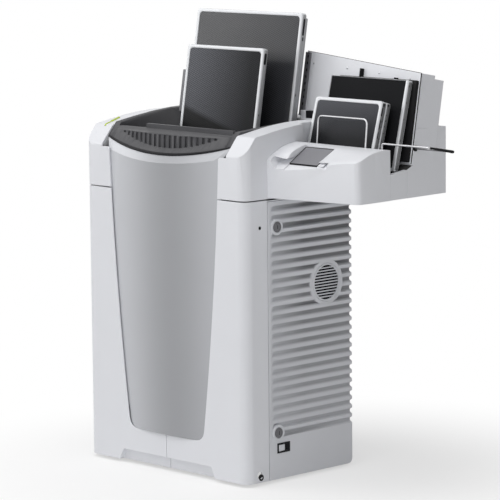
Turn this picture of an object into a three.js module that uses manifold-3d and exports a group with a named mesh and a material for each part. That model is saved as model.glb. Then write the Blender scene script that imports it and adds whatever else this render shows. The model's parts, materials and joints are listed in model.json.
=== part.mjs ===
// Floor-standing phosphor plate scanner: a cabinet, an input hopper on top and an output tray at the right.
// Millimetres, +Z up. X runs to the machine's right, Y to its back, and the floor is at Z = 0.
import * as THREE from "three";
import { mergeVertices } from "three/addons/utils/BufferGeometryUtils.js";
import Module from "manifold-3d";

const wasm = await Module();
wasm.setup();

// Fits that every piece shares
const FIT = 0.3;
const RUNNING_GAP = 0.6;
const OVERRUN = 5;
const ARC_STEPS = 4;
const ROUND_STEPS = 18;

// Cabinet
const CABINET_WIDTH = 600;
const SIDE_FACE = CABINET_WIDTH / 2;
const CABINET_DEPTH = 388;
const BACK_MARGIN = 67;
const PLATE_FOOT_Y = CABINET_DEPTH - BACK_MARGIN;
const CABINET_CORNER = 24;
const CABINET_REAR_CORNER = 8;
const FLOOR_GAP = 8;
const SEAM_HEIGHT = 732;
const SEAM_GAP = 3;
const COVER_WALL = 4;
const FRONT_COVER_DEPTH = 80;
const COVER_JOINT = 1.2;

// Toe recess, the centre joint of the front covers and the transport hole
const TOE_SIDE = 133;
const TOE_HALF_WIDTH = SIDE_FACE - TOE_SIDE;
const TOE_SLANT = 18;
const TOE_HEIGHT = 29;
const TOE_DEPTH = 14;
const JACK_HOLE_RADIUS = 8.5;
const JACK_HOLE_Y = 46;
const JACK_HOLE_Z = 28;
const COVER_SCREW_Y = 54;
const COVER_SCREW_Z = 661;
const COVER_SCREW_RADIUS = 4.5;

// Bowed front panel
const SHOULDER_WIDTH = 66;
const LIP_HALF_WIDTH = SIDE_FACE - SHOULDER_WIDTH;
const PANEL_LIP_FLARE = 28;
const PANEL_HALF_TOP = LIP_HALF_WIDTH - PANEL_LIP_FLARE;
const PANEL_HALF_MID = 178;
const PANEL_HALF_BOTTOM = 139;
const PANEL_MID_HEIGHT = 433;
const PANEL_BOTTOM = 100;
const PANEL_CORNER = 28;
const PANEL_TOP = 832;
const PANEL_TOP_DIP = 20;
const PANEL_INSET = 5;
const PANEL_BOW_RADIUS = 755;
const PANEL_WALL = 3;
const PANEL_FLANGE = 8;
const PANEL_ROWS = 10;
const PANEL_COLUMNS = 18;
const PANEL_EDGE_STEPS = 10;

// Top cover
const SHOULDER_HEIGHT = 842;
const BEVEL_DEPTH = 40;
const BEVEL_RISE = 48;
const CROWN_RISE = 24;
const CROWN_DEPTH = 220;
const COVER_EDGE_RADIUS = 9;
const CROWN_STEPS = 8;
const TOP_WALL = 5;
const POCKET_GAP = 4;

// Input hopper with its grooved lip
const LIP_CORNER_Y = 26;
const LIP_CORNER_Z = 866;
const LIP_BOW = 32;
const LIP_DIP = 29;
const LIP_JOINT = 3;
const APRON_DEPTH = 15;
const FOOT_LINE_Z = 847;
const FOOT_LINE_RISE = 53;
const BOW_WALL_TOP_Z = 882;
const BOW_WALL_DRAFT = 1.5;
const BOW_WALL = 9;
const LEDGE_Y = 40;
const LEDGE_Z = 885;
const LEDGE_CHAMFER = 4;
const LEDGE_BACK_Y = 56;
const LIP_SKIN = 4;
const LIP_SKIRT = 12;
const LIP_COLUMNS = 30;
const RIM_FRONT_Y = 52;
const RIM_FRONT_Z = 898;
const RIM_HEIGHT = 43;
const HOPPER_BACK_GAP = 9;
const HOPPER_BACK = PLATE_FOOT_Y - HOPPER_BACK_GAP;
const HOPPER_RISE_LEFT = 27;
const HOPPER_RISE_RIGHT = 12;
const HOPPER_WALL = 12;
const HOPPER_RIM = 20;
const HOPPER_SIDE_WALL = 5;
const HOPPER_FLOOR = 8;
const HOPPER_COLUMNS = 20;
const HOPPER_ROWS = 5;
const HOPPER_BOTTOM_Z = 722;
const FEED_SLOT_BACK = 50;
const FEED_SLOT_Y = HOPPER_BACK - FEED_SLOT_BACK;
const GROOVE_COUNT = 19;
const GROOVE_PITCH = 19;
const GROOVE_WIDTH = 9.5;
const GROOVE_DEPTH = 4.5;
const GROOVE_TOP_DROP = 2;
const STOP_BAR_LEFT = -109;
const STOP_BAR_RISE = 12;
const STOP_BAR_DEPTH = 10;
const FEED_SLOT_DEPTH = 18;
const FEED_SLOT_MARGIN = 9;
const STATUS_LENGTH = 30;
const STATUS_WIDTH = 6;
const STATUS_THICKNESS = 2.5;

// Cassettes: width, height along the lean, thickness, and the front bottom edge of each
const CASSETTE_THICKNESS = 15;
const CASSETTE_FRAME = 9;
const CASSETTE_CORNER = 9;
const CASSETTE_SHEET_CORNER = 11;
const CASSETTE_SHEET = 1.2;
const INPUT_LEAN = 9.5;
const LARGE_SIDE_GAP = 18;
const LARGE_WIDTH = 2 * (LIP_HALF_WIDTH - HOPPER_RIM - LARGE_SIDE_GAP);
const LARGE_HEIGHT = 450;
const LARGE_FOOT_BACK = 68.27;
const LARGE_FOOT_Y = HOPPER_BACK - LARGE_FOOT_BACK;
const LARGE_FOOT_Z = 741.17;
const ABOVE_ALL = LARGE_FOOT_Z + LARGE_HEIGHT;
const SMALL_WIDTH = 284;
const SMALL_HEIGHT = 347.5;
const STACK_DEPTH = 71.08;
const SMALL_FOOT_Y = LARGE_FOOT_Y - STACK_DEPTH;
const SMALL_FOOT_Z = 753.27;
const OUTPUT_LEAN = 16;
const OUTPUT_FRONT_WIDTH = 232;
const OUTPUT_FRONT_HEIGHT = 192;
const OUTPUT_FRONT_INSET = 10;
const OUTPUT_FRONT_BACK = 104.92;
const OUTPUT_FRONT_FOOT_Y = PLATE_FOOT_Y - OUTPUT_FRONT_BACK;
const OUTPUT_FRONT_FOOT_Z = 794.44;
const OUTPUT_STACK_GAP = 1.5;
const REAR_LEAN = 14;
const OUTPUT_REAR_EXTRA = 36;
const OUTPUT_REAR_WIDTH = OUTPUT_FRONT_WIDTH + OUTPUT_REAR_EXTRA;
const OUTPUT_REAR_HEIGHT = 232;
const OUTPUT_REAR_INSET = 13;
const OUTPUT_REAR_BACK = 48.13;
const OUTPUT_REAR_FOOT_Y = PLATE_FOOT_Y - OUTPUT_REAR_BACK;
const OUTPUT_REAR_FOOT_Z = 803.9;
const OUTPUT_REAR_LEFT = SIDE_FACE - OUTPUT_REAR_INSET;

// Output unit that overhangs the cabinet's right side
const OUTPUT_MARGIN = 44;
const OUTPUT_REACH = OUTPUT_FRONT_WIDTH + OUTPUT_MARGIN;
const OUTPUT_TAPER = 12;
const DECK_BACK_MARGIN = 135;
const DECK_BACK_Y = PLATE_FOOT_Y - DECK_BACK_MARGIN;
const DECK_DEPTH = 106;
const OUTPUT_FRONT_Y = DECK_BACK_Y - DECK_DEPTH;
const OUTPUT_FRONT_SWEEP = 44;
const OUTPUT_CORNER = 16;
const OUTPUT_BEHIND = 70;
const OUTPUT_BACK = CABINET_DEPTH + OUTPUT_BEHIND;
const OUTPUT_BOTTOM = 735;
const DECK_FRONT_LEFT_Z = 832.5;
const DECK_FRONT_RIGHT_Z = 839;
const DECK_BACK_SWEEP = 52;
const DECK_BACK_LEFT_Z = 870;
const DECK_BACK_RIGHT_Z = 861.5;
const DECK_CROWN = 9;
const DECK_OVERHANG = 20;
const OUTPUT_WALL = 4;
const TRAY_SHEET = 3;
const NOTCH_BACK_MARGIN = 15;
const NOTCH_BACK_Y = PLATE_FOOT_Y - NOTCH_BACK_MARGIN;
const NOTCH_DEPTH = 65;
const TRAY_SPLIT_Y = NOTCH_BACK_Y - NOTCH_DEPTH;
const NOTCH_FLOOR_Z = 799;
const NOTCH_FLOOR_RISE = 8;
const TRAY_LOW_Z = 774;
const TRAY_END = 17;
const TRAY_RIGHT = SIDE_FACE + OUTPUT_REACH - TRAY_END;
const TRAY_STEP = 6;
const DECK_EDGE = 4;
const DECK_ROWS = 8;
const DECK_COLUMNS = 10;
const SCREEN_OFFSET = 51;
const SCREEN_LEFT = SIDE_FACE + SCREEN_OFFSET;
const SCREEN_WIDTH = 99;
const SCREEN_LENGTH = 72.3;
const SCREEN_SLOPE = 31;
const SCREEN_BACK_MARGIN = 16;
const SCREEN_BACK_Y = DECK_BACK_Y - SCREEN_BACK_MARGIN;
const SCREEN_BACK_Z = 861;
const SCREEN_THICKNESS = 3;
const SCREEN_BEZEL = 3;
const RECESS_OFFSET = 32;
const RECESS_WIDTH = 130;
const RECESS_LEFT = SIDE_FACE + RECESS_OFFSET;
const RECESS_RIGHT = RECESS_LEFT + RECESS_WIDTH;
const RECESS_FLARE_LEFT = 14;
const RECESS_FLARE_RIGHT = 13;
const RECESS_DEPTH = 20;
const RECESS_LOW_Z = 800;

// Leaned back plate and the housing behind it
const PLATE_LEAN = 10.2;
const PLATE_OVERLAP = 137;
const PLATE_LEFT = SIDE_FACE - PLATE_OVERLAP;
const PLATE_FOOT_Z = 818;
const PLATE_TOP_RIGHT = 1045;
const PLATE_TOP_LEFT = 1083;
const PLATE_THICKNESS = 3;
const PLATE_MARGIN = 9;
const PLATE_RISE = 0.5;
const HOUSING_THICKNESS = 88;
const HOUSING_STEP_Z = 905;
const HOUSING_SHELF_DEPTH = 54;
const HOUSING_STEP_DROP = 9;
const STRIP_WIDTH = 6;
const STRIP_THICKNESS = 12;
const STRIP_LEFT_DROP = 17;
const STRIP_RIGHT_DROP = 23;
const STRIP_LENGTH = 150;
const STRIP_LEFT_OFFSET = 69;
const STRIP_SPACING = 121;
const CHANNEL_WIDTH = 16;
const CHANNEL_DEPTH = 6;
const CHANNEL_WALL = 4;

// Pusher that moves a finished cassette into the tray
const PUSHER_START = 19;
const PUSHER_X = PLATE_LEFT + PUSHER_START;
const PUSHER_GAP = 4;
const PUSHER_SLOT_LEAD = 1.5;
const PUSHER_SLOT_Y = PLATE_FOOT_Y - PUSHER_SLOT_LEAD;
const PUSHER_SLOT_WIDTH = 9;
const PUSHER_BLADE = 30;
const PUSHER_HEIGHT = 19;
const PUSHER_WIDTH = 24;
const PUSHER_DEPTH = 14;
const PUSHER_ARM = 22;

// Wire retainers
const WIRE_RADIUS = 2.5;
const WIRE_BEND = 8;
const WIRE_STEP_SHARE = 4;
const WIRE_SIDES = 8;
const UPRIGHT_OFFSET = 32;
const UPRIGHT_LEFT = SIDE_FACE + UPRIGHT_OFFSET;
const UPRIGHT_MARGIN = 63;
const UPRIGHT_WIDTH = OUTPUT_FRONT_WIDTH - UPRIGHT_MARGIN;
const UPRIGHT_TOP_Z = 934;
const UPRIGHT_FOOT_Z = 843;
const UPRIGHT_FOOT_BACK = 95;
const UPRIGHT_FOOT_Y = PLATE_FOOT_Y - UPRIGHT_FOOT_BACK;
const UPRIGHT_LEAN = 5.5;
const GUARD_MARGIN = 31;
const GUARD_ROOT_X = SIDE_FACE + OUTPUT_REACH - GUARD_MARGIN;
const GUARD_ROOT_Y = TRAY_SPLIT_Y;
const GUARD_Z = 876;
const GUARD_REACH = 155;
const GUARD_TIP_X = GUARD_ROOT_X + GUARD_REACH;
const GUARD_SOCKET_BACK = 30;
const GUARD_SOCKET_Y = NOTCH_BACK_Y + GUARD_SOCKET_BACK;
const GUARD_TILT = 10.7;
const SLEEVE_WALL = 1.4;
const GUARD_ROOT_DROP = 30;
const GUARD_END_GAP = 3.2;

// Ribbed side panels
const RIB_PITCH = 23.3;
const RIB_DEPTH = 8.3;
const RIB_CREST_SHARE = 0.32;
const RIB_VALLEY_SHARE = 0.28;
const RIB_FOOT_Z = 112;
const RIB_MARGIN = 9;
const RIB_RUNOUT = 16;
const SIDE_WALL = 3;
const SIDE_TOP_GAP = 5;
const SIDE_CORNER = 14;
const BOSS_RADIUS = 15;
const LOCK_RADIUS = 9;
const LOCK_RECESS = 5;
const LOCK_Y = 114;
const LOCK_UPPER_Z = 658;
const LOCK_LOWER_Z = 128;
const LOCK_SHANK_RADIUS = 4;
const LOCK_SHANK_LENGTH = 18;
const LOCK_SLOT = 2;
const VENT_BACK = 95;
const VENT_Y = CABINET_DEPTH - VENT_BACK;
const VENT_Z = 497;
const VENT_RADIUS = 50;
const VENT_RIM = 5;
const VENT_SLOTS = 11;
const VENT_SLOT = 4;
const VENT_THICKNESS = 5;
const SWITCH_Y = 131;
const SWITCH_Z = 88;
const SWITCH_LENGTH = 40;
const SWITCH_HEIGHT = 21;
const SWITCH_DEPTH = 16;
const SWITCH_FLANGE = 2.5;
const SWITCH_FRAME_WALL = 2;
const ROCKER_LENGTH = 22;
const HINGE_PIN_RADIUS = 2.5;
const HINGE_PIN_LENGTH = 20;
const HINGE_INSET = 7;
const HINGE_LOWER_Z = 44;
const HINGE_BOSS_HEIGHT = 9;

// Rear panel
const REAR_WALL = 2;
const REAR_SLOTS = 9;
const REAR_SLOT_PITCH = 14;
const REAR_SLOT_HEIGHT = 5;
const REAR_SLOT_LENGTH = 150;
const REAR_SLOT_Z = 560;
const REAR_SLOT_PLACE_SHARE = 0.8;
const CONNECTOR_WIDTH = 86;
const CONNECTOR_HEIGHT = 40;
const CONNECTOR_SIDE = 130;
const CONNECTOR_RISE = 88;
const CONNECTOR_X = SIDE_FACE - CONNECTOR_SIDE;
const CONNECTOR_Z = FLOOR_GAP + CONNECTOR_RISE;
const CONNECTOR_DEPTH = 14;
const INLET_WIDTH = 27;
const INLET_HEIGHT = 20;
const SOCKET_SIZE = 15;

// Base frame, feet and chassis
const TUBE = 30;
const FRAME_INSET = 34;
const FRAME_BASE_Z = 34;
const FOOT_RADIUS = 22;
const FOOT_PAD = 9;
const FOOT_STEM_RADIUS = 6;
const POST = 24;
const POST_INSET = 6;
const ARM_Z = 739.3;
const ARM_THICKNESS = 3;
const ARM_BACK_MARGIN = 28;
const ARM_DEPTH = 230;
const ARM_BACK = CABINET_DEPTH - ARM_BACK_MARGIN;
const ARM_FRONT = ARM_BACK - ARM_DEPTH;
const ARM_RISER = 30;
const ARM_END = 36;
const ARM_REACH = OUTPUT_REACH - ARM_END;
const SHELF_Z = 300;
const SHELF_THICKNESS = 3;
const BEARING_PLATE = 4;
const BEARING_SIDE = 74;
const BEARING_PLATE_X = SIDE_FACE - BEARING_SIDE;
const BEARING_PLATE_DEPTH = 120;
const BEARING_PLATE_HEIGHT = 330;

// Plate path: rollers, scan unit and eraser
const PATH_BACK = 192;
const PATH_Y = CABINET_DEPTH - PATH_BACK;
const ROLLER_RADIUS = 13;
const ROLLER_SHAFT = 5;
const ROLLER_END = 11;
const ROLLER_HALF = BEARING_PLATE_X - ROLLER_END;
const MOTOR_SHAFT = 3;
const ROLLER_UPPER_Z = 560;
const ROLLER_LOWER_Z = 380;
const PLATE_SHEET = 2;
const SHEET_SIDE = 19;
const SHEET_WIDTH = LARGE_WIDTH - 2 * SHEET_SIDE;
const SHEET_HEIGHT = 260;
const SCAN_DEPTH = 92;
const SCAN_HEIGHT = 110;
const SCAN_SLOT = 12;
const SCAN_WINDOW = 30;
const ERASER_HEIGHT = 70;
const ERASER_DEPTH = 60;
const ERASER_WINDOW = 34;
const ERASER_WINDOW_DEPTH = 8;
const PULLEY_RADIUS = 19;
const PULLEY_WIDTH = 10;
const PULLEY_FLANGE = 2;
const BELT_THICKNESS = 2;
const BELT_CLEARANCE = 0.4;
const MOTOR_RADIUS = 26;
const MOTOR_LENGTH = 48;
const MOTOR_BACK = 34;
const MOTOR_Y = PATH_Y + MOTOR_BACK;
const MOTOR_Z = 334;

// Electrics
const FAN_SIZE = 119;
const FAN_DEPTH = 25;
const FAN_HUB = 20;
const FAN_BLADES = 7;
const FAN_BLADE_PITCH = 32;
const FAN_BLADE_THICKNESS = 2;
const FAN_STRUT = 7;
const FAN_STRUT_TURN = 120;
const FAN_TURN = 360;
const FAN_CORNER = 8;
const FAN_RIM = 4;
const FAN_CHORD = 22;
const SUPPLY_WIDTH = 120;
const SUPPLY_DEPTH = 150;
const SUPPLY_HEIGHT = 80;
const SUPPLY_SLOT = 4;
const SUPPLY_SLOTS = 8;
const SUPPLY_SIDE = 110;
const SUPPLY_X = SUPPLY_SIDE - SIDE_FACE;
const BOARD_WIDTH = 180;
const BOARD_HEIGHT = 90;
const BOARD_THICKNESS = 1.6;
const BOARD_PART_HEIGHT = 12;
const BOARD_X = 120;
const BOARD_FRONT = 16;
const BOARD_Y = PATH_Y - BOARD_FRONT;
const BOARD_INSET = 14;
const BOARD_CHIP_SHARE = 0.3;
const STANDOFF = 8;
const BACKREST_HALF_WIDTH = 150;
const BACKREST_THICKNESS = 4;
const BACKREST_TOP_Z = 1035;
const BACKREST_FOOT = 40;

// Materials
const finish = (color, roughness, metalness = 0) =>
  new THREE.MeshStandardMaterial({ color, roughness, metalness });
const whitePlastic = finish(0xdcdde0, 0.5);
const greyPaint = finish(0xa4a7ad, 0.55);
const silverPaint = finish(0xa2a5ab, 0.35, 0.55);
const darkPlastic = finish(0x65666b, 0.6);
const blackPlastic = finish(0x18181b, 0.55);
const blackRubber = finish(0x161618, 0.85);
const steel = finish(0x9a9ca0, 0.4, 0.8);
const wire = finish(0xb9bbbf, 0.25, 0.95);
const aluminium = finish(0xc3c5c8, 0.35, 0.85);
const carbonSheet = finish(0x34353a, 0.4);
const glass = finish(0x707178, 0.12);
const statusGreen = finish(0xb4c43a, 0.35);
const circuitGreen = finish(0x2f6b45, 0.6);
const phosphor = finish(0xe9ecef, 0.7);

// Solids from three.js geometry, joined and cut as manifolds
const MERGE = 1e-4;
const solidOf = (geometry) => {
  const bare = geometry.clone();
  bare.deleteAttribute("normal");
  bare.deleteAttribute("uv");
  const merged = mergeVertices(bare, MERGE);
  return new wasm.Manifold(
    new wasm.Mesh({
      numProp: 3,
      vertProperties: merged.attributes.position.array,
      triVerts: new Uint32Array(merged.index.array),
    }),
  );
};
const geometryOf = (solid) => {
  const mesh = solid.getMesh();
  const geometry = new THREE.BufferGeometry();
  geometry.setAttribute("position", new THREE.BufferAttribute(mesh.vertProperties, 3));
  geometry.setIndex(new THREE.BufferAttribute(mesh.triVerts, 1));
  geometry.computeVertexNormals();
  return geometry;
};
const join = (...solids) => solids.reduce((whole, next) => whole.add(next));
const cut = (solid, ...tools) => tools.reduce((rest, tool) => rest.subtract(tool), solid);
const moved = (solid, x, y, z) => solid.translate([x, y, z]);

const RIGHT = new THREE.Vector3(1, 0, 0);
const BACK = new THREE.Vector3(0, 1, 0);
const UP = new THREE.Vector3(0, 0, 1);
const radians = THREE.MathUtils.degToRad;
const mix = THREE.MathUtils.lerp;

const box = ([x0, x1], [y0, y1], [z0, z1]) => {
  const geometry = new THREE.BoxGeometry(x1 - x0, y1 - y0, z1 - z0);
  geometry.translate((x0 + x1) / 2, (y0 + y1) / 2, (z0 + z1) / 2);
  return solidOf(geometry);
};
const extruded = (points, depth, place) => {
  const shape = new THREE.Shape(points.map(([a, b]) => new THREE.Vector2(a, b)));
  const geometry = new THREE.ExtrudeGeometry(shape, { depth, bevelEnabled: false, steps: 1 });
  geometry.applyMatrix4(place);
  return solidOf(geometry);
};
// Outlines are in YZ for prismX, in XZ for prismY and in XY for prismZ
const prismX = (points, [x0, x1]) =>
  extruded(points, x1 - x0, new THREE.Matrix4().makeBasis(BACK, UP, RIGHT).setPosition(x0, 0, 0));
const prismY = (points, [y0, y1]) =>
  extruded(
    points,
    y1 - y0,
    new THREE.Matrix4().makeBasis(RIGHT, UP, BACK.clone().negate()).setPosition(0, y1, 0),
  );
const prismZ = (points, [z0, z1]) =>
  extruded(points, z1 - z0, new THREE.Matrix4().setPosition(0, 0, z0));

// A round bar between two points
const rod = (radius, from, to, sides = ROUND_STEPS) => {
  const start = new THREE.Vector3(...from);
  const end = new THREE.Vector3(...to);
  const geometry = new THREE.CylinderGeometry(radius, radius, start.distanceTo(end), sides);
  const along = end.clone().sub(start).normalize();
  geometry.applyQuaternion(new THREE.Quaternion().setFromUnitVectors(BACK, along));
  const middle = start.add(end).multiplyScalar(0.5);
  geometry.translate(middle.x, middle.y, middle.z);
  return solidOf(geometry);
};

// An outline whose corners are rounded: one radius for all, or one for each corner
const filleted = (points, radii) =>
  points.flatMap((point, index) => {
    const radius = Array.isArray(radii) ? radii[index] : radii;
    if (!radius) return [point];
    const corner = new THREE.Vector2(...point);
    const towards = (other) => new THREE.Vector2(...other).sub(corner).normalize();
    const before = towards(points[(index + points.length - 1) % points.length]);
    const after = towards(points[(index + 1) % points.length]);
    const half = Math.acos(THREE.MathUtils.clamp(before.dot(after), -1, 1)) / 2;
    const centre = corner.clone().add(
      before.clone().add(after).normalize().multiplyScalar(radius / Math.sin(half)),
    );
    const reach = radius / Math.tan(half);
    const first = corner.clone().add(before.multiplyScalar(reach)).sub(centre);
    const last = corner.clone().add(after.multiplyScalar(reach)).sub(centre);
    const sweep = Math.atan2(first.cross(last), first.dot(last));
    return Array.from({ length: ARC_STEPS + 1 }, (_, step) => {
      const turned = first.clone().rotateAround(new THREE.Vector2(), (sweep * step) / ARC_STEPS);
      return turned.add(centre).toArray();
    });
  });
const rectangle = ([a0, a1], [b0, b1]) => [
  [a0, b0],
  [a1, b0],
  [a1, b1],
  [a0, b1],
];

// A closed solid between an outer and an inner surface that share a grid of rows and columns.
// The outer surface's columns and rows turn right-handed about its outward normal.
const loft = (rows, columns, outer, inner) => {
  const stride = columns + 1;
  const layer = (rows + 1) * stride;
  const positions = [outer, inner].flatMap((surface) =>
    Array.from({ length: layer }, (_, k) => surface(k % stride, Math.floor(k / stride))).flat(),
  );
  const triangles = [];
  const quad = (a, b, c, d) => triangles.push(a, b, c, a, c, d);
  for (let row = 0; row < rows; row++)
    for (let column = 0; column < columns; column++) {
      const a = row * stride + column;
      quad(a, a + 1, a + 1 + stride, a + stride);
      quad(layer + a, layer + a + stride, layer + a + 1 + stride, layer + a + 1);
    }
  for (let column = 0; column < columns; column++) {
    const top = rows * stride + column;
    quad(column, layer + column, layer + column + 1, column + 1);
    quad(top, top + 1, layer + top + 1, layer + top);
  }
  for (let row = 0; row < rows; row++) {
    const left = row * stride;
    const right = left + columns;
    quad(left, left + stride, layer + left + stride, layer + left);
    quad(right, layer + right, layer + right + stride, right + stride);
  }
  const geometry = new THREE.BufferGeometry();
  geometry.setAttribute("position", new THREE.Float32BufferAttribute(positions, 3));
  geometry.setIndex(triangles);
  return solidOf(geometry);
};

// A round wire along straight runs joined by bends of one radius
const wireAlong = (points, radius, bend) => {
  const path = new THREE.CurvePath();
  const corners = points.map((point) => new THREE.Vector3(...point));
  let from = corners[0];
  for (let index = 1; index < corners.length - 1; index++) {
    const corner = corners[index];
    const enter = corner.clone().add(corners[index - 1].clone().sub(corner).setLength(bend));
    const leave = corner.clone().add(corners[index + 1].clone().sub(corner).setLength(bend));
    path.add(new THREE.LineCurve3(from, enter));
    path.add(new THREE.QuadraticBezierCurve3(enter, corner, leave));
    from = leave;
  }
  path.add(new THREE.LineCurve3(from, corners.at(-1)));
  const section = new THREE.Shape(
    new THREE.EllipseCurve(0, 0, radius, radius).getPoints(WIRE_SIDES).slice(1),
  );
  const steps = Math.ceil(path.getLength() / (radius * WIRE_STEP_SHARE));
  return solidOf(new THREE.ExtrudeGeometry(section, { extrudePath: path, steps, bevelEnabled: false }));
};

const machine = new THREE.Group();
const place = (name, solid, material, parent = machine) => {
  const mesh = new THREE.Mesh(geometryOf(solid), material);
  mesh.name = name;
  parent.add(mesh);
  return mesh;
};

// Cabinet shell

// The cabinet's outline seen from above, drawn in by an inset
const cabinetPlan = (inset) => {
  const half = CABINET_WIDTH / 2 - inset;
  const front = CABINET_CORNER - inset;
  const rear = CABINET_REAR_CORNER - inset;
  return filleted(rectangle([-half, half], [inset, CABINET_DEPTH - inset]), [front, front, rear, rear]);
};
// Half the front panel's width at a height: a parabola through its bottom, middle and top widths
const panelHalf = (z) => {
  const [low, middle, high] = [PANEL_BOTTOM, PANEL_MID_HEIGHT, PANEL_TOP];
  const share = (a, b, at) => ((z - a) * (z - b)) / ((at - a) * (at - b));
  return (
    PANEL_HALF_BOTTOM * share(middle, high, low) +
    PANEL_HALF_MID * share(low, high, middle) +
    PANEL_HALF_TOP * share(low, middle, high)
  );
};
// The panel's opening seen from the front, grown all round; above the panel it flares to the hopper's lip
const panelOutline = (grow) => {
  const bottom = PANEL_BOTTOM - grow;
  const edge = Array.from({ length: PANEL_EDGE_STEPS }, (_, k) => {
    const z = mix(PANEL_BOTTOM + 2 * PANEL_CORNER, PANEL_TOP, k / (PANEL_EDGE_STEPS - 1));
    return [panelHalf(z) + grow, z];
  });
  const lip = LIP_HALF_WIDTH + grow;
  const corner = panelHalf(PANEL_BOTTOM) + grow;
  const rightSide = [[corner, bottom], ...edge, [lip, LIP_CORNER_Z], [lip, ABOVE_ALL]];
  const leftSide = rightSide.map(([x, z]) => [-x, z]).reverse();
  const outline = [...rightSide, ...leftSide];
  const radii = outline.map((_, index) => (index === 0 || index === outline.length - 1 ? PANEL_CORNER : 0));
  return filleted(outline, radii);
};

// Front covers: two halves that meet at the middle under the panel and wrap round to the side panels
const COVER_TOP = SEAM_HEIGHT - SEAM_GAP;
const toeTool = () => {
  const outline = [
    [-TOE_HALF_WIDTH - TOE_SLANT, 0],
    [TOE_HALF_WIDTH + TOE_SLANT, 0],
    [TOE_HALF_WIDTH, FLOOR_GAP + TOE_HEIGHT],
    [-TOE_HALF_WIDTH, FLOOR_GAP + TOE_HEIGHT],
  ];
  return prismY(outline, [-OVERRUN, TOE_DEPTH]);
};
const toeLining = () => {
  const outline = [
    [-TOE_HALF_WIDTH - TOE_SLANT - COVER_WALL, FLOOR_GAP],
    [TOE_HALF_WIDTH + TOE_SLANT + COVER_WALL, FLOOR_GAP],
    [TOE_HALF_WIDTH + COVER_WALL, FLOOR_GAP + TOE_HEIGHT + COVER_WALL],
    [-TOE_HALF_WIDTH - COVER_WALL, FLOOR_GAP + TOE_HEIGHT + COVER_WALL],
  ];
  return prismY(outline, [COVER_WALL / 2, TOE_DEPTH + COVER_WALL]);
};
const frontCovers = () => {
  const reach = [-CABINET_WIDTH, CABINET_WIDTH];
  const slab = box(reach, [-OVERRUN, FRONT_COVER_DEPTH], [FLOOR_GAP, COVER_TOP]);
  const outer = prismZ(cabinetPlan(0), [FLOOR_GAP, COVER_TOP]).intersect(slab);
  const inner = prismZ(cabinetPlan(COVER_WALL), [0, SEAM_HEIGHT]);
  const hole = rod(
    JACK_HOLE_RADIUS,
    [0, JACK_HOLE_Y, JACK_HOLE_Z],
    [CABINET_WIDTH, JACK_HOLE_Y, JACK_HOLE_Z],
  );
  const screw = rod(
    COVER_SCREW_RADIUS,
    [0, COVER_SCREW_Y, COVER_SCREW_Z],
    [CABINET_WIDTH, COVER_SCREW_Y, COVER_SCREW_Z],
  );
  const opening = prismY(panelOutline(0), [-OVERRUN, COVER_WALL + OVERRUN]);
  const shell = cut(join(cut(outer, inner), toeLining()), toeTool(), opening, hole, screw);
  const halfOf = (side) => {
    const span = [(side * COVER_JOINT) / 2, side * CABINET_WIDTH].sort((a, b) => a - b);
    return shell.intersect(box(span, [-OVERRUN, FRONT_COVER_DEPTH], [0, SEAM_HEIGHT]));
  };
  place("front_cover_left", halfOf(-1), whitePlastic);
  place("front_cover_right", halfOf(1), whitePlastic);
};

// Front panel: bowed round an upright axis, narrower towards its foot, with a bevel that climbs to the lip
const bowedY = (x, z) => {
  const depthAt = (across) => Math.sqrt(PANEL_BOW_RADIUS ** 2 - across ** 2);
  return PANEL_INSET - (depthAt(x) - depthAt(panelHalf(z)));
};
const lipPoint = (across) => {
  const dip = 1 - across ** 2;
  return [across * LIP_HALF_WIDTH, LIP_CORNER_Y - LIP_BOW * dip, LIP_CORNER_Z - LIP_DIP * dip];
};
const frontPanel = () => {
  const bottom = PANEL_BOTTOM - PANEL_FLANGE;
  const point = (column, row, behind) => {
    const across = (2 * column) / PANEL_COLUMNS - 1;
    if (row === PANEL_ROWS) {
      const [x, y, z] = lipPoint(across);
      const drop = LIP_JOINT + (behind ? PANEL_WALL + PANEL_WALL / 2 : 0);
      return [x - across * COVER_JOINT, y - LIP_JOINT, z - drop];
    }
    const top = PANEL_TOP - PANEL_TOP_DIP * (1 - across ** 2);
    const z = mix(bottom, top, row / (PANEL_ROWS - 1));
    const x = across * (panelHalf(z) + PANEL_FLANGE);
    return [x, bowedY(x, z) + (behind ? PANEL_WALL : 0), z];
  };
  const sheet = loft(
    PANEL_ROWS,
    PANEL_COLUMNS,
    (column, row) => point(column, row, false),
    (column, row) => point(column, row, true),
  );
  // The edges tuck behind the covers except round the foot, where the bow stands in front of them
  const reach = [-CABINET_DEPTH, CABINET_DEPTH];
  const tucked = box([-CABINET_WIDTH, CABINET_WIDTH], reach, [PANEL_BOTTOM + 2 * PANEL_CORNER, ABOVE_ALL]);
  const trim = join(
    prismY(panelOutline(-FIT), reach),
    prismY(panelOutline(PANEL_FLANGE), reach).intersect(tucked),
  );
  place("front_panel", sheet.intersect(trim), silverPaint);
};

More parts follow.
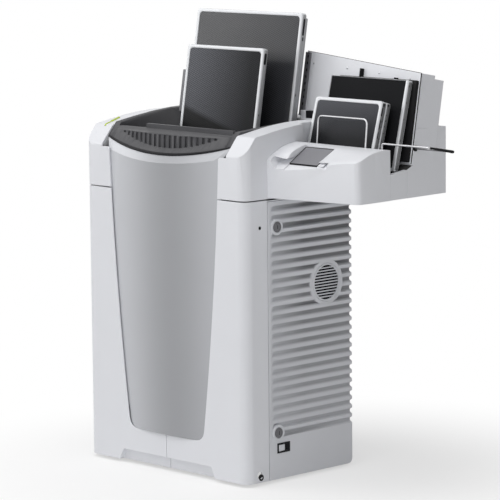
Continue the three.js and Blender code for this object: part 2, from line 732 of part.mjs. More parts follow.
// Ribbed side panel, drawn for the right side: crests and valleys run from front to back
const SIDE_FRONT = FRONT_COVER_DEPTH + COVER_JOINT;
const ribbedSheet = () => {
  const top = COVER_TOP - SIDE_TOP_GAP;
  const count = Math.floor((top - RIB_FOOT_Z) / RIB_PITCH);
  const crest = RIB_CREST_SHARE / 2;
  const valley = (1 - RIB_VALLEY_SHARE) / 2;
  // Heights and depths of one rib: down the crest's flank, across the valley and up the next flank
  const turns = [
    [crest, 0],
    [valley, 1],
    [1 - valley, 1],
    [1 - crest, 0],
  ];
  const ribs = Array.from({ length: count }, (_, k) =>
    turns.map(([along, deep]) => [RIB_FOOT_Z + (k + along) * RIB_PITCH, deep * RIB_DEPTH]),
  ).flat();
  const rows = [[FLOOR_GAP, 0], ...ribs, [top, 0]];
  const frontEnd = SIDE_FRONT + RIB_MARGIN;
  const columns = [
    [SIDE_FRONT, 0],
    [frontEnd, 0],
    [frontEnd + RIB_RUNOUT, 1],
    [CABINET_DEPTH - REAR_WALL, 1],
  ];
  const surface = (depth) => (column, row) => {
    const [y, share] = columns[column];
    const [z, deep] = rows[row];
    return [SIDE_FACE - depth - share * deep, y, z];
  };
  const sheet = loft(rows.length - 1, columns.length - 1, surface(0), surface(SIDE_WALL));
  // Rounds the panel's lower and upper rear corners
  const outline = rectangle([SIDE_FRONT, CABINET_DEPTH - REAR_WALL], [FLOOR_GAP, top]);
  const rounded = prismX(filleted(outline, [0, SIDE_CORNER, 0, 0]), [0, CABINET_WIDTH]);
  return sheet.intersect(rounded);
};
// Turned-in edges stiffen the sheet and carry it
const sideReturns = () => {
  const top = COVER_TOP - SIDE_TOP_GAP;
  const x = [SIDE_FACE - RIB_DEPTH - SIDE_WALL - SIDE_WALL, SIDE_FACE - SIDE_WALL / 2];
  const front = box(x, [SIDE_FRONT, SIDE_FRONT + SIDE_WALL], [FLOOR_GAP, top]);
  const foot = box(
    x,
    [SIDE_FRONT, CABINET_DEPTH - SIDE_CORNER - REAR_WALL],
    [FLOOR_GAP, FLOOR_GAP + SIDE_WALL],
  );
  const head = box(x, [SIDE_FRONT, CABINET_DEPTH - REAR_WALL], [top - SIDE_WALL, top]);
  return join(front, foot, head);
};

const sidePanelLeft = () => {
  const right = join(ribbedSheet(), sideReturns());
  place("side_panel_left", right.mirror([1, 0, 0]), greyPaint);
};

// The right side panel is a door on two pins at its rear edge, held by two quarter-turn locks
const door = new THREE.Group();
door.name = "side_door";
machine.add(door);
const bossAt = (y, z, radius) => rod(radius, [SIDE_FACE - RIB_DEPTH - SIDE_WALL, y, z], [SIDE_FACE, y, z]);
const HINGE_X = SIDE_FACE - HINGE_INSET;
const HINGE_Y = CABINET_DEPTH - REAR_WALL - HINGE_INSET;
const KNUCKLE_RADIUS = HINGE_PIN_RADIUS + SIDE_WALL;
const sideDoor = () => {
  const lockBoss = (z) => bossAt(LOCK_Y, z, BOSS_RADIUS);
  const ventBoss = bossAt(VENT_Y, VENT_Z, VENT_RADIUS + 2 * VENT_RIM);
  const through = (radius, y, z) => rod(radius, [0, y, z], [CABINET_WIDTH, y, z]);
  const recess = (z) =>
    rod(LOCK_RADIUS + 2 * FIT, [SIDE_FACE - LOCK_RECESS, LOCK_Y, z], [CABINET_WIDTH, LOCK_Y, z]);
  const hole = (z) => through(LOCK_SHANK_RADIUS + FIT, LOCK_Y, z);
  const ventSeat = rod(
    VENT_RADIUS + FIT,
    [SIDE_FACE - VENT_THICKNESS - FIT, VENT_Y, VENT_Z],
    [CABINET_WIDTH, VENT_Y, VENT_Z],
  );
  const ventHole = through(VENT_RADIUS - VENT_RIM, VENT_Y, VENT_Z);
  const halfLength = SWITCH_LENGTH / 2 + FIT;
  const halfHeight = SWITCH_HEIGHT / 2 + FIT;
  const switchHole = box(
    [0, CABINET_WIDTH],
    [SWITCH_Y - halfLength, SWITCH_Y + halfLength],
    [SWITCH_Z - halfHeight, SWITCH_Z + halfHeight],
  );
  const knuckle = (from, to) => {
    const column = rod(KNUCKLE_RADIUS, [HINGE_X, HINGE_Y, from], [HINGE_X, HINGE_Y, to]);
    const web = box(
      [HINGE_X, SIDE_FACE - SIDE_WALL / 2],
      [HINGE_Y - SIDE_WALL / 2, HINGE_Y + SIDE_WALL / 2],
      [from, to],
    );
    return join(column, web);
  };
  const bore = (from, to) => rod(HINGE_PIN_RADIUS + FIT, [HINGE_X, HINGE_Y, from], [HINGE_X, HINGE_Y, to]);
  const head = COVER_TOP - SIDE_TOP_GAP;
  const lower = knuckle(HINGE_LOWER_Z, HINGE_LOWER_Z + HINGE_PIN_LENGTH);
  const upper = knuckle(head - HINGE_BOSS_HEIGHT, head);
  const sheet = join(ribbedSheet(), sideReturns(), lockBoss(LOCK_UPPER_Z), lockBoss(LOCK_LOWER_Z), ventBoss);
  const pierced = cut(
    sheet,
    recess(LOCK_UPPER_Z),
    recess(LOCK_LOWER_Z),
    hole(LOCK_UPPER_Z),
    hole(LOCK_LOWER_Z),
    ventSeat,
    ventHole,
    switchHole,
  );
  const bores = [
    bore(0, HINGE_LOWER_Z + HINGE_PIN_LENGTH + OVERRUN),
    bore(head - HINGE_BOSS_HEIGHT - OVERRUN, SEAM_HEIGHT),
  ];
  place("side_panel_right", cut(join(pierced, lower, upper), ...bores), greyPaint, door);
};

// Vent grille: a rimmed disc with level slots, each as long as the disc allows
const ventGrille = () => {
  const disc = rod(VENT_RADIUS, [-VENT_THICKNESS, 0, 0], [0, 0, 0]);
  const pitch = (2 * (VENT_RADIUS - VENT_RIM)) / VENT_SLOTS;
  const slots = Array.from({ length: VENT_SLOTS }, (_, k) => {
    const z = (k - (VENT_SLOTS - 1) / 2) * pitch;
    const inside = VENT_RADIUS - VENT_RIM - VENT_SLOT / 2;
    const half = Math.sqrt(inside ** 2 - z ** 2);
    return box([-VENT_THICKNESS - OVERRUN, OVERRUN], [-half, half], [z - VENT_SLOT / 2, z + VENT_SLOT / 2]);
  });
  place("vent_grille", cut(disc, ...slots), greyPaint, door).position.set(SIDE_FACE, VENT_Y, VENT_Z);
};

// Quarter-turn locks: a slotted head in the recess and a shank with a cross bar behind the door
const lock = (name, z) => {
  const head = rod(LOCK_RADIUS, [-LOCK_RECESS + FIT, 0, 0], [-FIT, 0, 0]);
  const shank = rod(LOCK_SHANK_RADIUS, [-LOCK_SHANK_LENGTH - LOCK_RECESS, 0, 0], [-LOCK_RECESS / 2, 0, 0]);
  const barHalf = LOCK_RADIUS - FIT;
  const barStart = -LOCK_SHANK_LENGTH - LOCK_RECESS;
  const bar = box([barStart, barStart + LOCK_SHANK_RADIUS], [-LOCK_SLOT, LOCK_SLOT], [-barHalf, barHalf]);
  const slotHalf = LOCK_RADIUS - LOCK_SLOT;
  const slot = box([-LOCK_SLOT - FIT, OVERRUN], [-LOCK_SLOT / 2, LOCK_SLOT / 2], [-slotHalf, slotHalf]);
  place(name, cut(join(head, shank, bar), slot), steel, door).position.set(SIDE_FACE, LOCK_Y, z);
};

// Power switch: a flanged frame with a rocker at its front end and a finger hollow behind it
const powerSwitch = () => {
  const half = SWITCH_LENGTH / 2;
  const high = SWITCH_HEIGHT / 2;
  const flange = box([0, SWITCH_FLANGE / 2], [-half - SWITCH_FLANGE, half + SWITCH_FLANGE], [
    -high - SWITCH_FLANGE,
    high + SWITCH_FLANGE,
  ]);
  const body = box([-SWITCH_DEPTH, SWITCH_FLANGE / 4], [-half, half], [-high, high]);
  const well = box(
    [-SWITCH_DEPTH + SWITCH_FRAME_WALL, OVERRUN],
    [-half + SWITCH_FRAME_WALL, -half + SWITCH_FRAME_WALL + ROCKER_LENGTH + 2 * RUNNING_GAP],
    [-high + SWITCH_FRAME_WALL, high - SWITCH_FRAME_WALL],
  );
  const hollowStart = -half + 2 * SWITCH_FRAME_WALL + ROCKER_LENGTH + 2 * RUNNING_GAP;
  const hollow = prismZ(
    [
      [OVERRUN, hollowStart],
      [OVERRUN, half - SWITCH_FRAME_WALL],
      [0, half - SWITCH_FRAME_WALL],
      [-SWITCH_DEPTH + 2 * SWITCH_FRAME_WALL, hollowStart],
    ],
    [-high + SWITCH_FRAME_WALL, high - SWITCH_FRAME_WALL],
  );
  const frame = place("switch_frame", cut(join(flange, body), well, hollow), blackPlastic, door);
  frame.position.set(SIDE_FACE + FIT, SWITCH_Y, SWITCH_Z);
  const rockerHalf = ROCKER_LENGTH / 2;
  const rockerHigh = high - SWITCH_FRAME_WALL - RUNNING_GAP;
  const crown = filleted(
    [
      [0, -rockerHalf],
      [SWITCH_FLANGE, -rockerHalf],
      [SWITCH_FLANGE / 2, 0],
      [0, rockerHalf],
      [-SWITCH_DEPTH / 2, rockerHalf / 2],
      [-SWITCH_DEPTH / 2, -rockerHalf / 2],
    ],
    [0, SWITCH_FLANGE / 2, 0, 0, SWITCH_FLANGE, SWITCH_FLANGE],
  );
  const rocker = place("power_rocker", prismZ(crown, [-rockerHigh, rockerHigh]), greyPaint, door);
  const rockerY = SWITCH_Y - half + SWITCH_FRAME_WALL + RUNNING_GAP + rockerHalf;
  rocker.position.set(SIDE_FACE + FIT, rockerY, SWITCH_Z);
};

// Rear panel: sheet with air slots and a recessed connector plate
const rearPanel = () => {
  const half = SIDE_FACE - RIB_DEPTH - SIDE_WALL - 2 * SIDE_WALL - FIT;
  const top = COVER_TOP - SIDE_TOP_GAP;
  const sheet = box([-half, half], [CABINET_DEPTH - REAR_WALL, CABINET_DEPTH], [FLOOR_GAP, top]);
  const returns = [-1, 1].map((side) =>
    box(
      [side * half, side * (half - REAR_WALL)].sort((a, b) => a - b),
      [CABINET_DEPTH - SIDE_CORNER, CABINET_DEPTH],
      [FLOOR_GAP, top],
    ),
  );
  const slots = [-1, 1].flatMap((side) =>
    Array.from({ length: REAR_SLOTS }, (_, k) => {
      const x = side * REAR_SLOT_LENGTH * REAR_SLOT_PLACE_SHARE;
      const z = REAR_SLOT_Z + (k - (REAR_SLOTS - 1) / 2) * REAR_SLOT_PITCH;
      return box(
        [x - REAR_SLOT_LENGTH / 2, x + REAR_SLOT_LENGTH / 2],
        [CABINET_DEPTH - REAR_WALL - OVERRUN, CABINET_DEPTH + OVERRUN],
        [z - REAR_SLOT_HEIGHT / 2, z + REAR_SLOT_HEIGHT / 2],
      );
    }),
  );
  const window = box(
    [CONNECTOR_X - CONNECTOR_WIDTH / 2 - FIT, CONNECTOR_X + CONNECTOR_WIDTH / 2 + FIT],
    [CABINET_DEPTH - CABINET_CORNER, CABINET_DEPTH + OVERRUN],
    [CONNECTOR_Z - CONNECTOR_HEIGHT / 2 - FIT, CONNECTOR_Z + CONNECTOR_HEIGHT / 2 + FIT],
  );
  place("rear_panel", cut(join(sheet, ...returns), ...slots, window), greyPaint);
};
// Connector block: a power inlet with three blades' room and a network socket
const connectorBlock = () => {
  const half = CONNECTOR_WIDTH / 2;
  const high = CONNECTOR_HEIGHT / 2;
  const body = box([-half, half], [-CONNECTOR_DEPTH, 0], [-high, high]);
  const inlet = prismY(
    filleted(
      rectangle([0, INLET_WIDTH], [-INLET_HEIGHT / 2, INLET_HEIGHT / 2]),
      [0, 0, SWITCH_FLANGE, SWITCH_FLANGE],
    ),
    [-CONNECTOR_DEPTH + SWITCH_FRAME_WALL, OVERRUN],
  );
  const socket = box(
    [-SOCKET_SIZE, 0],
    [-CONNECTOR_DEPTH + SWITCH_FRAME_WALL, OVERRUN],
    [-SOCKET_SIZE / 2, SOCKET_SIZE / 2],
  );
  const block = cut(body, moved(inlet, SWITCH_FRAME_WALL, 0, 0), moved(socket, -SOCKET_SIZE / 2, 0, 0));
  place("connector_block", block, blackPlastic).position.set(CONNECTOR_X, CABINET_DEPTH, CONNECTOR_Z);
};

// Top cover: bevelled front, gently crowned top, open below and open where the hopper stands in it
const coverProfile = (inset) => {
  const back = CABINET_DEPTH - inset;
  const crown = Array.from({ length: CROWN_STEPS }, (_, k) => {
    const along = (k + 1) / CROWN_STEPS;
    const z = SHOULDER_HEIGHT + BEVEL_RISE + CROWN_RISE * Math.sin((along * Math.PI) / 2);
    return [BEVEL_DEPTH + CROWN_DEPTH * along, z - inset];
  });
  const outline = [
    [inset, SEAM_HEIGHT - (inset ? OVERRUN : 0)],
    [inset, SHOULDER_HEIGHT - inset / 2],
    [BEVEL_DEPTH + inset / 2, SHOULDER_HEIGHT + BEVEL_RISE - inset],
    ...crown,
    [back, SHOULDER_HEIGHT + BEVEL_RISE + CROWN_RISE - inset],
    [back, SEAM_HEIGHT - (inset ? OVERRUN : 0)],
  ];
  return filleted(outline, [0, COVER_EDGE_RADIUS, COVER_EDGE_RADIUS, ...crown.map(() => 0), 0, 0]);
};
const coverBody = (inset) => {
  const half = CABINET_WIDTH / 2 - inset;
  return prismX(coverProfile(inset), [-half, half]).intersect(prismZ(cabinetPlan(inset), [0, ABOVE_ALL]));
};
const COVER_CROWN_Z = SHOULDER_HEIGHT + BEVEL_RISE + CROWN_RISE;
const POCKET_FRONT = OUTPUT_FRONT_FOOT_Y - POCKET_GAP;
const POCKET_BACK = PLATE_FOOT_Y + (COVER_CROWN_Z - PLATE_FOOT_Z) * Math.tan(radians(PLATE_LEAN));
const topCover = () => {
  const lip = LIP_HALF_WIDTH + FIT;
  const left = OUTPUT_REAR_LEFT - POCKET_GAP;
  const liner = box([left - TOP_WALL, SIDE_FACE], [POCKET_FRONT - TOP_WALL, POCKET_BACK + TOP_WALL], [
    TRAY_LOW_Z - TOP_WALL,
    COVER_CROWN_Z,
  ]).intersect(coverBody(0));
  const shell = join(cut(coverBody(0), coverBody(TOP_WALL)), liner);
  const pocket = box([left, SIDE_FACE + OVERRUN], [POCKET_FRONT, POCKET_BACK], [TRAY_LOW_Z, ABOVE_ALL]);
  const front = prismY(panelOutline(FIT), [-CABINET_DEPTH, RIM_FRONT_Y]);
  const well = box([-lip, lip], [0, HOPPER_BACK + FIT], [0, ABOVE_ALL]);
  const wellFront = box([-lip, lip], [0, HOPPER_BACK], [LIP_CORNER_Z - LIP_DIP, ABOVE_ALL]);
  const slot = box(
    [PUSHER_X - PUSHER_GAP, left + OVERRUN],
    [PUSHER_SLOT_Y, PUSHER_SLOT_Y + PUSHER_SLOT_WIDTH],
    [COVER_CROWN_Z - 2 * TOP_WALL, ABOVE_ALL],
  );
  const arm = box(
    [0, SIDE_FACE + OVERRUN],
    [ARM_FRONT - FIT, ARM_BACK + FIT],
    [ARM_Z - FIT, ARM_Z + ARM_THICKNESS + FIT],
  );
  const inside = well.intersect(box([-lip, lip], [RIM_FRONT_Y - OVERRUN, CABINET_DEPTH], [0, ABOVE_ALL]));
  place("top_cover", cut(shell, front, inside, wellFront, pocket, slot, arm), whitePlastic);
};

// Input hopper: apron, bowed and grooved wall, shelf and ledge before a deep basin with a leaned floor
const basinFloor = (y) => LARGE_FOOT_Z + (LARGE_FOOT_Y - y) * Math.tan(radians(INPUT_LEAN)) - FIT;
const rimZ = (across, y) => {
  const rise = mix(HOPPER_RISE_LEFT, HOPPER_RISE_RIGHT, (across + 1) / 2);
  return RIM_FRONT_Z + rise * Math.sin((((y - RIM_FRONT_Y) / (HOPPER_BACK - RIM_FRONT_Y)) * Math.PI) / 2);
};
// The lip in section at a share of its half width, from skirt to ledge, each point with its inner side
const lipSection = (across) => {
  const [, edgeY, edgeZ] = lipPoint(across);
  const footY = edgeY + APRON_DEPTH;
  const footZ = Math.min(BOW_WALL_TOP_Z, FOOT_LINE_Z + FOOT_LINE_RISE * across ** 2);
  const topY = footY + BOW_WALL_DRAFT;
  const skirt = edgeZ - LIP_SKIRT;
  const inside = edgeY + FIT + LIP_SKIN;
  return [
    [[edgeY + FIT, skirt], [inside, skirt]],
    [[edgeY, edgeZ], [inside, edgeZ - LIP_SKIN / 2]],
    [[footY, footZ], [Math.min(footY + BOW_WALL, LEDGE_Y), footZ - LIP_SKIN / 2]],
    [[topY, BOW_WALL_TOP_Z], [Math.min(topY + BOW_WALL, LEDGE_Y + FIT), BOW_WALL_TOP_Z - LIP_SKIN]],
    [[LEDGE_Y, LEDGE_Z], [LEDGE_Y + LEDGE_CHAMFER / 2, LEDGE_Z - LIP_SKIN]],
    [[LEDGE_Y + LEDGE_CHAMFER, LEDGE_Z + LEDGE_CHAMFER], [LEDGE_Y + LEDGE_CHAMFER + FIT, LEDGE_Z]],
    [[LEDGE_BACK_Y, LEDGE_Z + LEDGE_CHAMFER], [LEDGE_BACK_Y, LEDGE_Z]],
  ];
};
const hopperLip = (half) => {
  const rows = lipSection(0).length - 1;
  const surface = (side) => (column, row) => {
    const x = half * ((2 * column) / LIP_COLUMNS - 1);
    return [x, ...lipSection(x / LIP_HALF_WIDTH)[row][side]];
  };
  const grooves = Array.from({ length: GROOVE_COUNT }, (_, k) => (k - (GROOVE_COUNT - 1) / 2) * GROOVE_PITCH)
    .map((x) => [x, ...lipSection(x / LIP_HALF_WIDTH)[2][0]])
    .filter(([, , z]) => z < BOW_WALL_TOP_Z - 2 * GROOVE_TOP_DROP)
    .map(([x, y, z]) =>
      box(
        [x - GROOVE_WIDTH / 2, x + GROOVE_WIDTH / 2],
        [y - OVERRUN, y + GROOVE_DEPTH],
        [z, BOW_WALL_TOP_Z - GROOVE_TOP_DROP],
      ),
    );
  return cut(loft(rows, LIP_COLUMNS, surface(0), surface(1)), ...grooves);
};
const inputHopper = () => {
  const rows = HOPPER_ROWS;
  const point = (column, row) => {
    const across = (2 * column) / HOPPER_COLUMNS - 1;
    if (row === 0) return lipPoint(across);
    const y = mix(RIM_FRONT_Y, HOPPER_BACK, (row - 1) / (rows - 1));
    return [across * LIP_HALF_WIDTH, y, rimZ(across, y)];
  };
  const body = loft(rows, HOPPER_COLUMNS, point, (column, row) => {
    const [x, y] = point(column, row);
    return [x, y, HOPPER_BOTTOM_Z];
  });
  const inner = LIP_HALF_WIDTH - HOPPER_RIM;
  const front = LEDGE_BACK_Y;
  const back = HOPPER_BACK - HOPPER_WALL;
  const ledgeTop = LEDGE_Z + LEDGE_CHAMFER;
  const basin = prismX(
    [
      [front, basinFloor(front)],
      [back, basinFloor(back)],
      [back, ABOVE_ALL],
      [front, ABOVE_ALL],
    ],
    [-inner, inner],
  );
  const under = prismX(
    [
      [front, 0],
      [back, 0],
      [back, basinFloor(back) - HOPPER_FLOOR],
      [front, basinFloor(front) - HOPPER_FLOOR],
    ],
    [-inner, inner],
  );
  const beforeWall = box([-inner, inner], [-CABINET_DEPTH, front - LIP_SKIN], [0, ABOVE_ALL]);
  const aboveLedge = box([-inner, inner], [0, front + OVERRUN], [ledgeTop, ABOVE_ALL]);
  // The rims are hollow from below and from outside, down to a thin side wall
  const rimHollows = [-1, 1].map((side) =>
    box(
      [side * (inner + HOPPER_SIDE_WALL), side * SIDE_FACE].sort((a, b) => a - b),
      [-CABINET_DEPTH, CABINET_DEPTH],
      [0, RIM_FRONT_Z - RIM_HEIGHT],
    ),
  );
  const feedHalf = LARGE_WIDTH / 2 + FEED_SLOT_MARGIN;
  const feed = box(
    [-feedHalf, feedHalf],
    [FEED_SLOT_Y, FEED_SLOT_Y + FEED_SLOT_DEPTH],
    [0, LARGE_FOOT_Z + FEED_SLOT_DEPTH],
  );
  const bar = box([STOP_BAR_LEFT, inner + FIT], [LEDGE_BACK_Y - STOP_BAR_DEPTH, LEDGE_BACK_Y], [
    LEDGE_Z,
    ledgeTop + STOP_BAR_RISE,
  ]);
  const shell = cut(body, basin, under, beforeWall, aboveLedge, ...rimHollows, feed);
  place("input_hopper", join(shell, hopperLip(inner + FIT), bar), darkPlastic);
};

// Status light along the left shoulder's edge
const statusLight = () => {
  const half = STATUS_WIDTH / 2;
  const outline = filleted(
    rectangle([-half, half], [0, STATUS_THICKNESS]),
    [0, 0, STATUS_THICKNESS / 2, STATUS_THICKNESS / 2],
  );
  const light = place("status_light", prismX(outline, [0, STATUS_LENGTH]), statusGreen);
  const y = BEVEL_DEPTH + COVER_EDGE_RADIUS + half;
  const rise = (CROWN_RISE * Math.PI) / 2 / CROWN_DEPTH;
  const z = SHOULDER_HEIGHT + BEVEL_RISE + (y - BEVEL_DEPTH) * rise + FIT;
  light.position.set(-LIP_HALF_WIDTH - FIT - STATUS_LENGTH - SEAM_GAP, y, z);
  light.rotation.x = Math.atan(rise);
};

// Backrest behind the input cassettes, hooked over the hopper's back wall
const inputBackrest = () => {
  const back = HOPPER_BACK + FIT;
  const seat = rimZ(-1, HOPPER_BACK) + FIT;
  const lean = Math.tan(radians(INPUT_LEAN));
  const faceAt = (z) =>
    LARGE_FOOT_Y + (z - LARGE_FOOT_Z) * lean + (CASSETTE_THICKNESS + FIT) / Math.cos(radians(INPUT_LEAN));
  const top = BACKREST_TOP_Z;
  const foot = seat - BACKREST_FOOT;
  const outline = [
    [faceAt(foot), foot],
    [faceAt(foot) + BACKREST_THICKNESS, foot],
    [faceAt(seat) + BACKREST_THICKNESS, seat],
    [back + FIT, seat],
    [back + FIT, COVER_CROWN_Z + FIT],
    [back + FIT + BACKREST_THICKNESS, COVER_CROWN_Z + FIT],
    [back + FIT + BACKREST_THICKNESS, seat + BACKREST_THICKNESS],
    [faceAt(seat + BACKREST_THICKNESS) + BACKREST_THICKNESS, seat + BACKREST_THICKNESS],
    [faceAt(top) + BACKREST_THICKNESS, top],
    [faceAt(top), top],
  ];
  place("input_backrest", prismX(outline, [-BACKREST_HALF_WIDTH, BACKREST_HALF_WIDTH]), whitePlastic);
};

// Cassettes: an aluminium frame round a dark sheet with rounded corners, origin at the front top left corner;
// each is placed by its front bottom edge
const cassette = (name, width, height, lean, [x, footY, footZ], hidden = false) => {
  const slide = new THREE.Group();
  slide.name = `${name}_slide`;
  slide.position.set(x, footY + height * Math.sin(radians(lean)), footZ + height * Math.cos(radians(lean)));
  slide.rotation.x = -radians(lean);
  machine.add(slide);
  const plate = prismY(
    filleted(rectangle([0, width], [-height, 0]), CASSETTE_CORNER),
    [0, CASSETTE_THICKNESS],
  );
  const sheetOutline = (gap) =>
    filleted(
      rectangle(
        [CASSETTE_FRAME + gap, width - CASSETTE_FRAME - gap],
        [-height + CASSETTE_FRAME + gap, -CASSETTE_FRAME - gap],
      ),
      CASSETTE_SHEET_CORNER - gap,
    );
  if (hidden) {
    place(name, plate, aluminium, slide);
    return;
  }
  const depth = CASSETTE_SHEET + FIT;
  const recess = prismY(sheetOutline(0), [-OVERRUN, depth]);
  place(name, cut(plate, recess), aluminium, slide);
  place(`${name}_sheet`, prismY(sheetOutline(FIT), [0, CASSETTE_SHEET]), carbonSheet, slide);
};
const cassettes = () => {
  cassette(
    "input_large",
    LARGE_WIDTH,
    LARGE_HEIGHT,
    INPUT_LEAN,
    [-LARGE_WIDTH / 2, LARGE_FOOT_Y, LARGE_FOOT_Z],
  );
  cassette(
    "input_small",
    SMALL_WIDTH,
    SMALL_HEIGHT,
    INPUT_LEAN,
    [-SMALL_WIDTH / 2, SMALL_FOOT_Y, SMALL_FOOT_Z],
  );
  const lean = radians(OUTPUT_LEAN);
  ["output_front", "output_middle"].forEach((name, index) => {
    const behind = index * (CASSETTE_THICKNESS + OUTPUT_STACK_GAP);
    const foot = [
      SIDE_FACE - OUTPUT_FRONT_INSET,
      OUTPUT_FRONT_FOOT_Y + behind * Math.cos(lean),
      OUTPUT_FRONT_FOOT_Z - behind * Math.sin(lean),
    ];
    cassette(name, OUTPUT_FRONT_WIDTH, OUTPUT_FRONT_HEIGHT, OUTPUT_LEAN, foot, index > 0);
  });
  const rearFoot = [OUTPUT_REAR_LEFT, OUTPUT_REAR_FOOT_Y, OUTPUT_REAR_FOOT_Z];
  cassette("output_rear", OUTPUT_REAR_WIDTH, OUTPUT_REAR_HEIGHT, REAR_LEAN, rearFoot);
};

// Output unit: everything stands in one plan that tapers towards the back
const OUTPUT_LEFT = SIDE_FACE + FIT;
const sweptFront = (x) => OUTPUT_FRONT_Y + (OUTPUT_FRONT_SWEEP * (x - SIDE_FACE)) / OUTPUT_REACH;
const sweptBack = (x) => DECK_BACK_Y + (DECK_BACK_SWEEP * (x - SIDE_FACE)) / OUTPUT_REACH;
const outputPlan = (inset, left = OUTPUT_LEFT) => {
  const right = SIDE_FACE + OUTPUT_REACH - inset;
  const outline = [
    [left, sweptFront(left) + inset],
    [right, sweptFront(right) + inset],
    [right, (sweptFront(right) + TRAY_SPLIT_Y) / 2],
    [right - OUTPUT_TAPER, OUTPUT_BACK - inset],
    [left, OUTPUT_BACK - inset],
  ];
  return filleted(outline, [0, OUTPUT_CORNER - inset, 0, 0, 0]);
};
const deckZ = (x, along) => {
  const across = (x - SIDE_FACE) / OUTPUT_REACH;
  const front = mix(DECK_FRONT_LEFT_Z, DECK_FRONT_RIGHT_Z, across);
  const level = mix(front, mix(DECK_BACK_LEFT_Z, DECK_BACK_RIGHT_Z, across), along);
  return level + DECK_CROWN * Math.sin(along * Math.PI);
};
